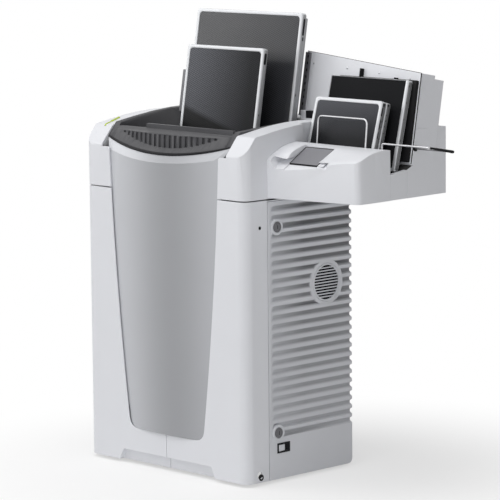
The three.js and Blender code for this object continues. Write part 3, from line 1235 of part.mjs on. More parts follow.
// The deck as a solid down to the unit's underside; rows run from the front edge to the back edge
const deckBody = (inset, backInset, bottom) => {
  const across = [OUTPUT_LEFT - (inset ? OVERRUN : 0), SIDE_FACE + OUTPUT_REACH];
  const edgeShare = DECK_EDGE / (DECK_BACK_Y - OUTPUT_FRONT_Y);
  const shares = [
    0,
    edgeShare,
    ...Array.from({ length: DECK_ROWS }, (_, k) => mix(edgeShare, 1, (k + 1) / DECK_ROWS)),
  ];
  const surface = (column, row) => {
    const x = mix(across[0], across[1], column / DECK_COLUMNS);
    const y = mix(sweptFront(x) + inset, sweptBack(x) - backInset, shares[row]);
    return [x, y, deckZ(x, shares[row]) - inset - (row === 0 ? DECK_EDGE / 2 : 0)];
  };
  return loft(shares.length - 1, DECK_COLUMNS, surface, (column, row) => {
    const [x, y] = surface(column, row);
    return [x, y, bottom];
  });
};
const outputFrontHousing = () => {
  const reach = [OUTPUT_LEFT, SIDE_FACE + OUTPUT_REACH + OVERRUN];
  const plan = prismZ(outputPlan(0), [OUTPUT_BOTTOM, COVER_CROWN_Z]);
  const inner = prismZ(
    outputPlan(OUTPUT_WALL, OUTPUT_LEFT - OVERRUN),
    [OUTPUT_BOTTOM + OUTPUT_WALL, COVER_CROWN_Z],
  );
  const deck = deckBody(0, 0, OUTPUT_BOTTOM);
  const split = TRAY_SPLIT_Y - FIT / 2;
  const foot = box(reach, [DECK_BACK_Y - DECK_OVERHANG, split], [OUTPUT_BOTTOM, TRAY_LOW_Z - 2 * TRAY_SHEET]);
  const right = SIDE_FACE + OUTPUT_REACH;
  const rightWall = box([right - 2 * OUTPUT_TAPER, reach[1]], [sweptBack(right) - OVERRUN, split], [
    OUTPUT_BOTTOM,
    deckZ(right, 1),
  ]);
  const whole = join(deck, foot, rightWall).intersect(plan);
  // The deck overhangs the tray, so cassettes can tuck under its back edge
  const undercut = prismZ(
    [
      [OUTPUT_LEFT - OVERRUN, sweptBack(OUTPUT_LEFT - OVERRUN) - DECK_OVERHANG],
      [TRAY_RIGHT + FIT, sweptBack(TRAY_RIGHT) - DECK_OVERHANG],
      [TRAY_RIGHT + FIT, OUTPUT_BACK],
      [OUTPUT_LEFT - OVERRUN, OUTPUT_BACK],
    ],
    [TRAY_LOW_Z - 2 * TRAY_SHEET - OVERRUN, DECK_BACK_RIGHT_Z - 2 * OUTPUT_WALL],
  );
  const hollowDeck = deckBody(OUTPUT_WALL, DECK_OVERHANG + OUTPUT_WALL, 0).intersect(inner);
  const hollowFoot = box(
    [OUTPUT_LEFT - OVERRUN, TRAY_RIGHT - OUTPUT_WALL],
    [DECK_BACK_Y - 2 * DECK_OVERHANG, CABINET_DEPTH],
    [OUTPUT_BOTTOM + OUTPUT_WALL, TRAY_LOW_Z - 2 * TRAY_SHEET - OVERRUN],
  );
  // Screen recess: its floor slopes from the deck to the front and runs out through the front face
  const slope = Math.tan(radians(SCREEN_SLOPE));
  const drop = (SCREEN_THICKNESS + FIT) / Math.cos(radians(SCREEN_SLOPE));
  const frontY = SCREEN_BACK_Y - SCREEN_LENGTH * Math.cos(radians(SCREEN_SLOPE)) - RECESS_DEPTH * 2;
  const floorAt = (y) => SCREEN_BACK_Z - drop - (SCREEN_BACK_Y - y) * slope;
  const seatBack = SCREEN_BACK_Y + SCREEN_THICKNESS * Math.sin(radians(SCREEN_SLOPE)) + FIT;
  const wedge = (lift, back) =>
    prismX(
      [
        [frontY, floorAt(frontY) + lift],
        [back, floorAt(back) + lift],
        [back, COVER_CROWN_Z],
        [frontY, COVER_CROWN_Z],
      ],
      [RECESS_LEFT - RECESS_DEPTH, RECESS_RIGHT + RECESS_DEPTH],
    );
  const flared = prismY(
    [
      [RECESS_LEFT, RECESS_LOW_Z],
      [RECESS_RIGHT, RECESS_LOW_Z],
      [RECESS_RIGHT + RECESS_FLARE_RIGHT * 2, RECESS_LOW_Z + RECESS_DEPTH * 2],
      [RECESS_LEFT - RECESS_FLARE_LEFT * 2, RECESS_LOW_Z + RECESS_DEPTH * 2],
    ],
    [0, TRAY_SPLIT_Y],
  );
  const recess = wedge(drop - FIT, TRAY_SPLIT_Y).intersect(flared);
  const seat = wedge(0, seatBack).intersect(
    box([SCREEN_LEFT - FIT, SCREEN_LEFT + SCREEN_WIDTH + FIT], [0, CABINET_DEPTH], [0, COVER_CROWN_Z]),
  );
  const keepUnder = prismX(
    [
      [frontY, floorAt(frontY) - OUTPUT_WALL],
      [CABINET_DEPTH, floorAt(CABINET_DEPTH) - OUTPUT_WALL],
      [CABINET_DEPTH, 0],
      [frontY, 0],
    ],
    [RECESS_LEFT - 2 * RECESS_DEPTH, RECESS_RIGHT + 2 * RECESS_DEPTH],
  );
  const sides = join(
    box([0, RECESS_LEFT - 2 * RECESS_DEPTH], [0, CABINET_DEPTH], [0, COVER_CROWN_Z]),
    box([RECESS_RIGHT + 2 * RECESS_DEPTH, ABOVE_ALL], [0, CABINET_DEPTH], [0, COVER_CROWN_Z]),
    keepUnder,
  );
  const hollow = join(hollowDeck.intersect(sides), hollowFoot);
  place("output_front_housing", cut(whole, undercut, hollow, recess, seat), whitePlastic);

  const screen = place(
    "touch_screen",
    prismZ(filleted(rectangle([0, SCREEN_WIDTH], [-SCREEN_LENGTH, 0]), SCREEN_BEZEL), [-SCREEN_THICKNESS, 0]),
    glass,
  );
  screen.position.set(SCREEN_LEFT, SCREEN_BACK_Y, SCREEN_BACK_Z);
  screen.rotation.x = radians(SCREEN_SLOPE);
};

// Tray: one folded sheet whose steps stand square to the leaned cassettes
const outputTray = () => {
  const front = OUTPUT_FRONT_FOOT_Y;
  const rear = OUTPUT_REAR_FOOT_Y;
  const frontFloor = (y) => OUTPUT_FRONT_FOOT_Z - FIT + (front - y) * Math.tan(radians(OUTPUT_LEAN));
  const rearFloor = (y) => OUTPUT_REAR_FOOT_Z - FIT + (rear - y) * Math.tan(radians(REAR_LEAN));
  const step = rear - TRAY_STEP;
  const back = NOTCH_BACK_Y - FIT;
  const start = front - RUNNING_GAP;
  const top = [
    [start, frontFloor(start)],
    [step, frontFloor(step)],
    [step, rearFloor(step)],
    [back, rearFloor(back)],
  ];
  const under = [
    [back, rearFloor(back) - TRAY_SHEET],
    [step + TRAY_SHEET, rearFloor(step + TRAY_SHEET) - TRAY_SHEET],
    [step + TRAY_SHEET, frontFloor(step) - TRAY_SHEET],
    [start, frontFloor(start) - TRAY_SHEET],
  ];
  const left = OUTPUT_REAR_LEFT - POCKET_GAP + FIT;
  place("output_tray", prismX([...under, ...top], [left, TRAY_RIGHT]), darkPlastic);
};

// Side cover under the tray's notch: a floor and an outer wall
const outputSideCover = () => {
  const span = [TRAY_SPLIT_Y + FIT / 2, NOTCH_BACK_Y - FIT / 2];
  const profile = [
    [span[0], OUTPUT_BOTTOM],
    [span[1], OUTPUT_BOTTOM],
    [span[1], NOTCH_FLOOR_Z + NOTCH_FLOOR_RISE],
    [span[0], NOTCH_FLOOR_Z],
  ];
  const reach = [OUTPUT_LEFT, SIDE_FACE + OUTPUT_REACH];
  const whole = prismX(profile, reach).intersect(prismZ(outputPlan(0), [0, COVER_CROWN_Z]));
  const inside = box([0, TRAY_RIGHT + FIT], [0, CABINET_DEPTH], [OUTPUT_BOTTOM + OUTPUT_WALL, COVER_CROWN_Z]);
  place("output_side_cover", cut(whole, inside), whitePlastic);
};

// Leaned back plate, its channel and strips share one frame: X right, Y behind the plate, Z up along it
const backFrame = new THREE.Group();
backFrame.name = "back_frame";
backFrame.position.set(0, PLATE_FOOT_Y, PLATE_FOOT_Z);
backFrame.rotation.x = -radians(PLATE_LEAN);
machine.add(backFrame);
const alongPlate = (z) => (z - PLATE_FOOT_Z) / Math.cos(radians(PLATE_LEAN));
const PLATE_RIGHT = SIDE_FACE + OUTPUT_REACH - PLATE_MARGIN;
const plateTop = (x) =>
  alongPlate(mix(PLATE_TOP_LEFT, PLATE_TOP_RIGHT, (x - PLATE_LEFT) / (PLATE_RIGHT - PLATE_LEFT)));
const plateOutline = (left, right, low, drop) => [
  [left, low],
  [right, low],
  [right, plateTop(right) - drop],
  [left, plateTop(left) - drop],
];
const backPlateGroup = () => {
  const coverLine = alongPlate(COVER_CROWN_Z + SEAM_GAP);
  const upper = prismY(plateOutline(PLATE_LEFT, PLATE_RIGHT, coverLine, 0), [0, PLATE_THICKNESS]);
  const lower = prismY(plateOutline(OUTPUT_LEFT, PLATE_RIGHT, 0, PLATE_RISE), [0, PLATE_THICKNESS]);
  place("output_back_plate", join(upper, lower), whitePlastic, backFrame);
  const channelLow = coverLine + FIT;
  const channel = prismY(
    plateOutline(PLATE_LEFT, PLATE_LEFT + CHANNEL_WIDTH, channelLow, SEAM_GAP),
    [-CHANNEL_DEPTH, -FIT],
  );
  const groove = prismY(
    plateOutline(PLATE_LEFT + CHANNEL_WALL, PLATE_LEFT + CHANNEL_WIDTH - CHANNEL_WALL, 0, -OVERRUN),
    [-CHANNEL_DEPTH - OVERRUN, -CHANNEL_DEPTH / 2],
  );
  place("plate_edge_channel", cut(channel, groove), blackPlastic, backFrame);
  const stripX = SIDE_FACE + STRIP_LEFT_OFFSET;
  [
    ["rubber_strip_left", stripX, STRIP_LEFT_DROP],
    ["rubber_strip_right", stripX + STRIP_SPACING, STRIP_RIGHT_DROP],
  ].forEach(([name, x, drop]) => {
    const top = plateTop(x) - drop;
    const round = WIRE_RADIUS;
    const outline = filleted(
      rectangle([-STRIP_WIDTH / 2, STRIP_WIDTH / 2], [-STRIP_THICKNESS, -FIT]),
      [round, round, 0, 0],
    );
    const strip = place(name, prismZ(outline, [-STRIP_LENGTH, 0]), blackRubber, backFrame);
    strip.position.set(x, 0, top);
  });
};

// Rear housing: a leaned slab behind the plate that stands on a box, and a foot behind the cabinet
const leaned = (solid) => solid.rotate([-PLATE_LEAN, 0, 0]).translate([0, PLATE_FOOT_Y, PLATE_FOOT_Z]);
const housingBody = (inset) => {
  const low = alongPlate(OUTPUT_BOTTOM);
  const front = PLATE_THICKNESS + FIT + inset;
  const right = PLATE_RIGHT - inset;
  const left = PLATE_LEFT + inset;
  const tall = prismY(plateOutline(left, right, low, inset), [front, HOUSING_SHELF_DEPTH - inset]);
  const stepped = prismY(
    plateOutline(left, right, low, HOUSING_STEP_DROP + inset),
    [front, HOUSING_THICKNESS - inset],
  );
  const floor = inset ? -OVERRUN : OUTPUT_BOTTOM;
  const above = COVER_CROWN_Z + SEAM_GAP + inset;
  const upper = leaned(join(tall, stepped)).intersect(
    join(
      box([-CABINET_WIDTH, CABINET_WIDTH], [0, ABOVE_ALL], [above, ABOVE_ALL]),
      box(
        [OUTPUT_LEFT - inset, CABINET_WIDTH],
        [PLATE_FOOT_Y, OUTPUT_BACK - inset],
        [PLATE_FOOT_Z, ABOVE_ALL],
      ),
    ),
  );
  const plan = prismZ(outputPlan(inset, OUTPUT_LEFT - inset), [floor, ABOVE_ALL]);
  const split = NOTCH_BACK_Y + FIT / 2 + inset;
  const notch = NOTCH_FLOOR_Z + NOTCH_FLOOR_RISE - inset;
  const lean = Math.tan(radians(PLATE_LEAN));
  const plateBack = (z) => PLATE_FOOT_Y + (z - PLATE_FOOT_Z) * lean + front / Math.cos(radians(PLATE_LEAN));
  const shelf = HOUSING_STEP_Z - inset;
  const block = prismX(
    [
      [split, floor],
      [OUTPUT_BACK - inset, floor],
      [OUTPUT_BACK - inset, shelf],
      [plateBack(shelf), shelf],
      [plateBack(PLATE_FOOT_Z - SEAM_GAP - inset), PLATE_FOOT_Z - SEAM_GAP - inset],
      [split, notch],
    ],
    [OUTPUT_LEFT - inset, CABINET_WIDTH],
  ).intersect(plan);
  const behind = box([left, OUTPUT_LEFT + OVERRUN], [CABINET_DEPTH + FIT + inset, OUTPUT_BACK - inset], [
    floor,
    COVER_CROWN_Z + 2 * SEAM_GAP,
  ]);
  return join(upper, block, behind);
};
const rearHousing = () => {
  const arm = box([0, SIDE_FACE + ARM_REACH + FIT], [0, ARM_BACK], [0, ARM_Z + ARM_THICKNESS + FIT]);
  place("rear_housing", cut(housingBody(0), housingBody(OUTPUT_WALL), arm), whitePlastic);
};

// Pusher: a block and its bracket slide along the slot in the top cover
const pusherUnit = () => {
  const slide = new THREE.Group();
  slide.name = "pusher_slide";
  slide.position.set(PUSHER_X, PUSHER_SLOT_Y + PUSHER_SLOT_WIDTH / 2, COVER_CROWN_Z + FIT);
  machine.add(slide);
  const half = PUSHER_DEPTH / 2;
  const blade = box([0, PUSHER_ARM], [-half / 2, half / 2], [-PUSHER_BLADE, PUSHER_HEIGHT]);
  const head = box([PUSHER_ARM - TOP_WALL, PUSHER_ARM], [-half, half], [0, PUSHER_HEIGHT]);
  place("pusher_bracket", join(blade, head), blackPlastic, slide);
  const block = filleted(rectangle([0, PUSHER_WIDTH], [-half, half]), WIRE_RADIUS);
  const pad = place("pusher_block", prismZ(block, [0, PUSHER_HEIGHT]), whitePlastic, slide);
  pad.position.set(PUSHER_ARM + FIT, 0, 0);
};

// Wire retainers
const wires = () => {
  const wall = (x) => sweptBack(x) - DECK_OVERHANG + FIT + RUNNING_GAP;
  const right = UPRIGHT_LEFT + UPRIGHT_WIDTH;
  const topY = UPRIGHT_FOOT_Y + (UPRIGHT_TOP_Z - UPRIGHT_FOOT_Z) * Math.tan(radians(UPRIGHT_LEAN));
  const upright = [
    [UPRIGHT_LEFT, wall(UPRIGHT_LEFT), UPRIGHT_FOOT_Z],
    [UPRIGHT_LEFT, UPRIGHT_FOOT_Y, UPRIGHT_FOOT_Z],
    [UPRIGHT_LEFT, topY, UPRIGHT_TOP_Z],
    [right, topY, UPRIGHT_TOP_Z],
    [right, UPRIGHT_FOOT_Y, UPRIGHT_FOOT_Z],
    [right, wall(right), UPRIGHT_FOOT_Z],
  ];
  place("upright_wire", wireAlong(upright, WIRE_RADIUS, WIRE_BEND), wire);
  const run = GUARD_SOCKET_Y - GUARD_ROOT_Y;
  const farZ = GUARD_Z - run * Math.tan(radians(GUARD_TILT));
  const housingSide = SIDE_FACE + OUTPUT_REACH - PLATE_MARGIN + GUARD_END_GAP;
  const guard = [
    [GUARD_ROOT_X, wall(GUARD_ROOT_X), GUARD_Z - GUARD_ROOT_DROP],
    [GUARD_ROOT_X, GUARD_ROOT_Y, GUARD_Z - GUARD_ROOT_DROP],
    [GUARD_ROOT_X, GUARD_ROOT_Y, GUARD_Z],
    [GUARD_TIP_X, GUARD_ROOT_Y, GUARD_Z],
    [GUARD_TIP_X, GUARD_SOCKET_Y, farZ],
    [housingSide, GUARD_SOCKET_Y, farZ],
  ];
  place("guard_wire", wireAlong(guard, WIRE_RADIUS, WIRE_BEND), wire);
  const sleeve = cut(
    rod(
      WIRE_RADIUS + SLEEVE_WALL,
      [0, WIRE_BEND + OVERRUN, 0],
      [0, run - WIRE_BEND - OVERRUN, 0],
      WIRE_SIDES * 2,
    ),
    rod(WIRE_RADIUS + FIT, [0, 0, 0], [0, run, 0], WIRE_SIDES * 2),
  );
  const sleeveNode = place("guard_sleeve", sleeve, blackRubber);
  sleeveNode.position.set(GUARD_TIP_X, GUARD_ROOT_Y, GUARD_Z);
  sleeveNode.rotation.x = -radians(GUARD_TILT);
};

// Base frame, feet and chassis
const FRAME_X = SIDE_FACE - FRAME_INSET;
const FRAME_BACK = CABINET_DEPTH - FRAME_INSET;
const FOOT_X = FRAME_X - TUBE / 2;
const footPlaces = [-1, 1].flatMap((side) =>
  [FRAME_INSET + TUBE / 2, FRAME_BACK - TUBE / 2].map((y) => [side * FOOT_X, y]),
);
const baseFrame = () => {
  const top = FRAME_BASE_Z + TUBE;
  const ring = cut(
    box([-FRAME_X, FRAME_X], [FRAME_INSET, FRAME_BACK], [FRAME_BASE_Z, top]),
    box([-FRAME_X + TUBE, FRAME_X - TUBE], [FRAME_INSET + TUBE, FRAME_BACK - TUBE], [0, SEAM_HEIGHT]),
  );
  const cross = box([-TUBE / 2, TUBE / 2], [FRAME_INSET, FRAME_BACK], [FRAME_BASE_Z, top]);
  const threads = footPlaces.map(([x, y]) => rod(FOOT_STEM_RADIUS + FIT, [x, y, 0], [x, y, top - OVERRUN]));
  place("base_frame", cut(join(ring, cross), ...threads), blackPlastic);
};
const levellingFeet = () => {
  const stemTop = FRAME_BASE_Z + TUBE - 2 * OVERRUN;
  footPlaces.forEach(([x, y], index) => {
    const outline = [
      [0, 0],
      [FOOT_RADIUS, 0],
      [FOOT_RADIUS, FOOT_PAD / 2],
      [FOOT_STEM_RADIUS * 2, FOOT_PAD],
      [FOOT_STEM_RADIUS, FOOT_PAD],
      [FOOT_STEM_RADIUS, stemTop],
      [0, stemTop],
    ].map(([radius, z]) => new THREE.Vector2(radius, z));
    const lathe = new THREE.LatheGeometry(outline, ROUND_STEPS);
    lathe.rotateX(Math.PI / 2);
    place(`levelling_foot_${index + 1}`, solidOf(lathe), blackRubber).position.set(x, y, 0);
  });
};
const chassis = () => {
  const bottom = FRAME_BASE_Z + TUBE + FIT;
  const deck = COVER_TOP - SIDE_TOP_GAP + FIT;
  const postX = FRAME_X - POST_INSET;
  const posts = [-1, 1].flatMap((side) =>
    [FRAME_INSET + TUBE / 2, FRAME_BACK - TUBE / 2].map((y) => {
      const x = side * (postX - POST / 2);
      return box(
        [x - POST / 2, x + POST / 2],
        [y - POST / 2, y + POST / 2],
        [bottom, deck + SHELF_THICKNESS],
      );
    }),
  );
  const span = [-postX, postX];
  const depth = [FRAME_INSET + (TUBE - POST) / 2, FRAME_BACK - (TUBE - POST) / 2];
  const pan = box(span, depth, [bottom, bottom + SHELF_THICKNESS]);
  const shelf = box(span, depth, [SHELF_Z, SHELF_Z + SHELF_THICKNESS]);
  const lip = LIP_HALF_WIDTH + 2 * FIT;
  const deckPlate = cut(
    prismZ(cabinetPlan(RUNNING_GAP + COVER_WALL), [deck, deck + SHELF_THICKNESS]),
    box([-lip, lip], [0, HOPPER_BACK + 2 * FIT], [0, COVER_CROWN_Z]),
  );
  const bearings = [-1, 1].map((side) => {
    const x = side * BEARING_PLATE_X;
    const half = BEARING_PLATE / 2;
    const mid = PATH_Y;
    return join(
      box([x - half, x + half], [mid - BEARING_PLATE_DEPTH / 2, mid + BEARING_PLATE_DEPTH / 2], [
        SHELF_Z,
        SHELF_Z + BEARING_PLATE_HEIGHT,
      ]),
      box(
        [side * (BEARING_PLATE_X - half), side * (BEARING_PLATE_X + POST / 2)].sort((a, b) => a - b),
        depth,
        [SHELF_Z + BEARING_PLATE_HEIGHT - POST, SHELF_Z + BEARING_PLATE_HEIGHT],
      ),
    );
  });
  const shafts = rollerPlaces.map(
    ([y, z]) => rod(ROLLER_SHAFT + FIT, [-CABINET_WIDTH, y, z], [CABINET_WIDTH, y, z]),
  );
  const shaftHole = rod(
    MOTOR_SHAFT + 2 * FIT,
    [-BEARING_PLATE_X - OVERRUN, MOTOR_Y, MOTOR_Z],
    [-BEARING_PLATE_X + OVERRUN, MOTOR_Y, MOTOR_Z],
  );
  const riser = box(
    [SIDE_FACE - ARM_RISER, SIDE_FACE - TOP_WALL - FIT],
    [ARM_FRONT, ARM_BACK],
    [deck, ARM_Z + ARM_THICKNESS],
  );
  const arm = box(
    [SIDE_FACE - ARM_RISER, SIDE_FACE + ARM_REACH],
    [ARM_FRONT, ARM_BACK],
    [ARM_Z, ARM_Z + ARM_THICKNESS],
  );
  const pinFoot = HINGE_LOWER_Z - RUNNING_GAP;
  const hinge = [
    box(
      [postX - OVERRUN, HINGE_X - KNUCKLE_RADIUS / 2],
      [FRAME_BACK - POST, FRAME_BACK - (TUBE - POST) / 2],
      [bottom, bottom + SHELF_THICKNESS],
    ),
  ];
  // Strikes on the right front post: a turned lock bar reaches behind their outer tabs
  const tabX = SIDE_FACE - LOCK_SHANK_LENGTH - LOCK_RECESS + LOCK_SHANK_RADIUS + FIT;
  const postBack = FRAME_INSET + (TUBE + POST) / 2;
  const strikes = [LOCK_UPPER_Z, LOCK_LOWER_Z].map((z) => {
    const high = [z - BOSS_RADIUS, z + BOSS_RADIUS];
    const web = box([postX - OVERRUN, tabX + SHELF_THICKNESS], [postBack - SHELF_THICKNESS, postBack], high);
    const tab = box(
      [tabX, tabX + SHELF_THICKNESS],
      [postBack - SHELF_THICKNESS, LOCK_Y - LOCK_RADIUS / 2 - FIT],
      high,
    );
    return join(web, tab);
  });
  const boards = standoffPlaces.map(([x, y]) =>
    rod(
      FOOT_STEM_RADIUS / 2,
      [x, y, bottom + SHELF_THICKNESS / 2],
      [x, y, bottom + SHELF_THICKNESS + STANDOFF],
      WIRE_SIDES,
    ),
  );
  const lowerPin = hingePin(
    pinFoot,
    HINGE_LOWER_Z + HINGE_PIN_LENGTH - RUNNING_GAP,
    pinFoot - SHELF_THICKNESS,
    bottom,
    postX,
  );
  const head = COVER_TOP - SIDE_TOP_GAP;
  const upperPin = rod(
    HINGE_PIN_RADIUS,
    [HINGE_X, HINGE_Y, head - HINGE_BOSS_HEIGHT],
    [HINGE_X, HINGE_Y, deck + FIT],
  );
  const frame = cut(join(...posts, pan, shelf, ...bearings), ...shafts, shaftHole);
  place(
    "chassis_frame",
    join(frame, deckPlate, riser, arm, ...hinge, ...strikes, ...boards, lowerPin, upperPin),
    steel,
  );
};
// The lower hinge pin stands on a strap that drops from the chassis pan
const hingePin = (from, to, strapZ, pan, postX) => {
  const pin = rod(HINGE_PIN_RADIUS, [HINGE_X, HINGE_Y, strapZ], [HINGE_X, HINGE_Y, to]);
  const back = FRAME_BACK - (TUBE - POST) / 2;
  const ear = box(
    [HINGE_X - KNUCKLE_RADIUS, HINGE_X + KNUCKLE_RADIUS / 2],
    [back - POST, HINGE_Y + KNUCKLE_RADIUS / 2],
    [strapZ, from],
  );
  const strap = box(
    [postX + FRAME_INSET / 2, HINGE_X - KNUCKLE_RADIUS / 2],
    [back - POST, back],
    [strapZ, pan + SHELF_THICKNESS],
  );
  return join(pin, ear, strap);
};

// Plate path: two pairs of rollers carry the sheet through the eraser and the scan unit
const NIP = PLATE_SHEET / 2 + FIT + ROLLER_RADIUS;
const rollerPlaces = [ROLLER_UPPER_Z, ROLLER_LOWER_Z].flatMap(
  (z) => [-1, 1].map((side) => [PATH_Y + side * NIP, z]),
);
const standoffPlaces = [-1, 1].flatMap((side) =>
  [-1, 1].map((end) => [
    BOARD_X + (side * (BOARD_WIDTH - BOARD_INSET)) / 2,
    BOARD_Y + (end * (BOARD_HEIGHT - BOARD_INSET)) / 2,
  ]),
);
const BEARING_OUTSIDE = BEARING_PLATE_X + BEARING_PLATE / 2;
const beltPlane = (index) =>
  -BEARING_OUTSIDE - FIT - PULLEY_FLANGE - index * (PULLEY_WIDTH + 2 * PULLEY_FLANGE);
const pulley = (index) => {
  const start = beltPlane(index) + PULLEY_FLANGE;
  const rim = PULLEY_RADIUS + BELT_THICKNESS;
  const groove = rod(PULLEY_RADIUS, [start, 0, 0], [start - PULLEY_WIDTH - PULLEY_FLANGE, 0, 0]);
  const inner = rod(rim, [start, 0, 0], [start - PULLEY_FLANGE, 0, 0]);
  const outer = rod(rim, [start - PULLEY_WIDTH, 0, 0], [start - PULLEY_WIDTH - PULLEY_FLANGE, 0, 0]);
  return join(groove, inner, outer);
};
const rollers = () => {
  const names = ["roller_upper_front", "roller_upper_rear", "roller_lower_front", "roller_lower_rear"];
  const beltsOf = [[], [1], [], [0, 1]];
  rollerPlaces.forEach(([y, z], index) => {
    const barrel = rod(ROLLER_RADIUS, [-ROLLER_HALF, 0, 0], [ROLLER_HALF, 0, 0]);
    const reach = beltsOf[index].length ? beltPlane(1) - PULLEY_WIDTH : -BEARING_OUTSIDE - FIT;
    const shaft = rod(ROLLER_SHAFT, [reach, 0, 0], [BEARING_OUTSIDE + FIT, 0, 0]);
    const wheels = beltsOf[index].map((belt) => pulley(belt));
    place(names[index], join(barrel, shaft, ...wheels), blackRubber).position.set(0, y, z);
  });
};
const driveMotor = () => {
  const start = -BEARING_PLATE_X + BEARING_PLATE / 2 + FIT;
  const body = rod(MOTOR_RADIUS, [start, 0, 0], [start + MOTOR_LENGTH, 0, 0]);
  const cap = rod(MOTOR_RADIUS / 2, [start + MOTOR_LENGTH, 0, 0], [start + MOTOR_LENGTH + OVERRUN, 0, 0]);
  const bore = rod(MOTOR_SHAFT + FIT, [start - OVERRUN, 0, 0], [start + MOTOR_LENGTH / 2, 0, 0]);
  place("drive_motor", cut(join(body, cap), bore), blackPlastic).position.set(0, MOTOR_Y, MOTOR_Z);
  const shaft = rod(
    MOTOR_SHAFT,
    [-BEARING_OUTSIDE - PULLEY_FLANGE, 0, 0],
    [start + MOTOR_LENGTH / 2 - FIT, 0, 0],
  );
  place("motor_pulley", join(pulley(0), shaft), steel).position.set(0, MOTOR_Y, MOTOR_Z);
};
// A flat belt round two equal pulleys
const belt = (name, index, [y0, z0], [y1, z1]) => {
  const along = new THREE.Vector2(y1 - y0, z1 - z0);
  const turn = along.angle() + Math.PI / 2;
  const loop = (radius) =>
    [
      [y1, z1, turn - Math.PI],
      [y0, z0, turn],
    ].flatMap(([y, z, from]) =>
      Array.from({ length: ROUND_STEPS / 2 + 1 }, (_, k) => {
        const angle = from + (k * Math.PI) / (ROUND_STEPS / 2);
        return [y + radius * Math.cos(angle), z + radius * Math.sin(angle)];
      }),
    );
  const x1 = beltPlane(index) - BELT_CLEARANCE;
  const x0 = beltPlane(index) - PULLEY_WIDTH + PULLEY_FLANGE + BELT_CLEARANCE;
  const inner = PULLEY_RADIUS + FIT;
  const outside = prismX(loop(inner + BELT_THICKNESS), [x0, x1]);
  place(name, cut(outside, prismX(loop(inner), [x0 - OVERRUN, x1 + OVERRUN])), blackRubber);
};
const belts = () => {
  const lower = [PATH_Y + NIP, ROLLER_LOWER_Z];
  belt("drive_belt", 0, [MOTOR_Y, MOTOR_Z], lower);
  belt("transfer_belt", 1, lower, [PATH_Y + NIP, ROLLER_UPPER_Z]);
};
// Half the span between the bearing plates, which carry the units at their ends
const UNIT_HALF = BEARING_PLATE_X - BEARING_PLATE / 2 - FIT;
const scanUnit = () => {
  const half = UNIT_HALF;
  const body = box([-half, half], [-SCAN_DEPTH / 2, SCAN_DEPTH / 2], [-SCAN_HEIGHT / 2, SCAN_HEIGHT / 2]);
  const inner = SHEET_WIDTH / 2 + SCAN_SLOT / 2;
  const slot = box([-inner, inner], [-SCAN_SLOT / 2, SCAN_SLOT / 2], [-SCAN_HEIGHT, SCAN_HEIGHT]);
  const window = box([-inner, inner], [0, SCAN_DEPTH / 2 - COVER_WALL], [-SCAN_WINDOW / 2, SCAN_WINDOW / 2]);
  place(
    "scan_unit",
    cut(body, slot, window),
    blackPlastic,
  ).position.set(0, PATH_Y, (ROLLER_UPPER_Z + ROLLER_LOWER_Z) / 2);
};
const eraserUnit = () => {
  const half = UNIT_HALF;
  const body = box([-half, half], [-ERASER_DEPTH, 0], [0, ERASER_HEIGHT]);
  const inner = SHEET_WIDTH / 2;
  const middle = ERASER_HEIGHT / 2;
  const window = box(
    [-inner, inner],
    [-ERASER_WINDOW_DEPTH, OVERRUN],
    [middle - ERASER_WINDOW / 2, middle + ERASER_WINDOW / 2],
  );
  const unit = place("eraser_unit", cut(body, window), aluminium);
  unit.position.set(0, PATH_Y - SCAN_SLOT / 2, ROLLER_UPPER_Z + ROLLER_RADIUS + OVERRUN);
};
const phosphorPlate = () => {
  const half = PLATE_SHEET / 2;
  const outline = filleted(
    rectangle([-SHEET_WIDTH / 2, SHEET_WIDTH / 2], [0, SHEET_HEIGHT]),
    CASSETTE_CORNER,
  );
  place(
    "phosphor_plate",
    prismY(outline, [-half, half]),
    phosphor,
  ).position.set(0, PATH_Y, ROLLER_LOWER_Z - OVERRUN);
};

// Electrics
const PAN_TOP = FRAME_BASE_Z + TUBE + FIT + SHELF_THICKNESS;
const powerSupply = () => {
  const body = box([0, SUPPLY_WIDTH], [0, SUPPLY_DEPTH], [0, SUPPLY_HEIGHT]);
  const slots = Array.from({ length: SUPPLY_SLOTS }, (_, k) => {
    const y = ((k + 1) * SUPPLY_DEPTH) / (SUPPLY_SLOTS + 1);
    return box([2 * OVERRUN, SUPPLY_WIDTH - 2 * OVERRUN], [y - SUPPLY_SLOT / 2, y + SUPPLY_SLOT / 2], [
      SUPPLY_HEIGHT - OVERRUN,
      SUPPLY_HEIGHT + OVERRUN,
    ]);
  });
  place("power_supply", cut(body, ...slots), aluminium).position.set(
    SUPPLY_X,
    BOARD_Y - BOARD_HEIGHT / 2,
    PAN_TOP + FIT,
  );
};
const controlBoard = () => {
  const board = box(
    [-BOARD_WIDTH / 2, BOARD_WIDTH / 2],
    [-BOARD_HEIGHT / 2, BOARD_HEIGHT / 2],
    [0, BOARD_THICKNESS],
  );
  const chip = (share, size, height) =>
    box(
      [share * BOARD_WIDTH - size, share * BOARD_WIDTH + size],
      [-size, size],
      [BOARD_THICKNESS / 2, height],
    );
  const parts = [
    chip(-BOARD_CHIP_SHARE, BOARD_PART_HEIGHT, BOARD_PART_HEIGHT),
    chip(0, BOARD_PART_HEIGHT * 2, BOARD_THICKNESS * 3),
    chip(BOARD_CHIP_SHARE, BOARD_PART_HEIGHT, BOARD_PART_HEIGHT / 2),
  ];
  place(
    "control_board",
    join(board, ...parts),
    circuitGreen,
  ).position.set(BOARD_X, BOARD_Y, PAN_TOP + STANDOFF + FIT);
};
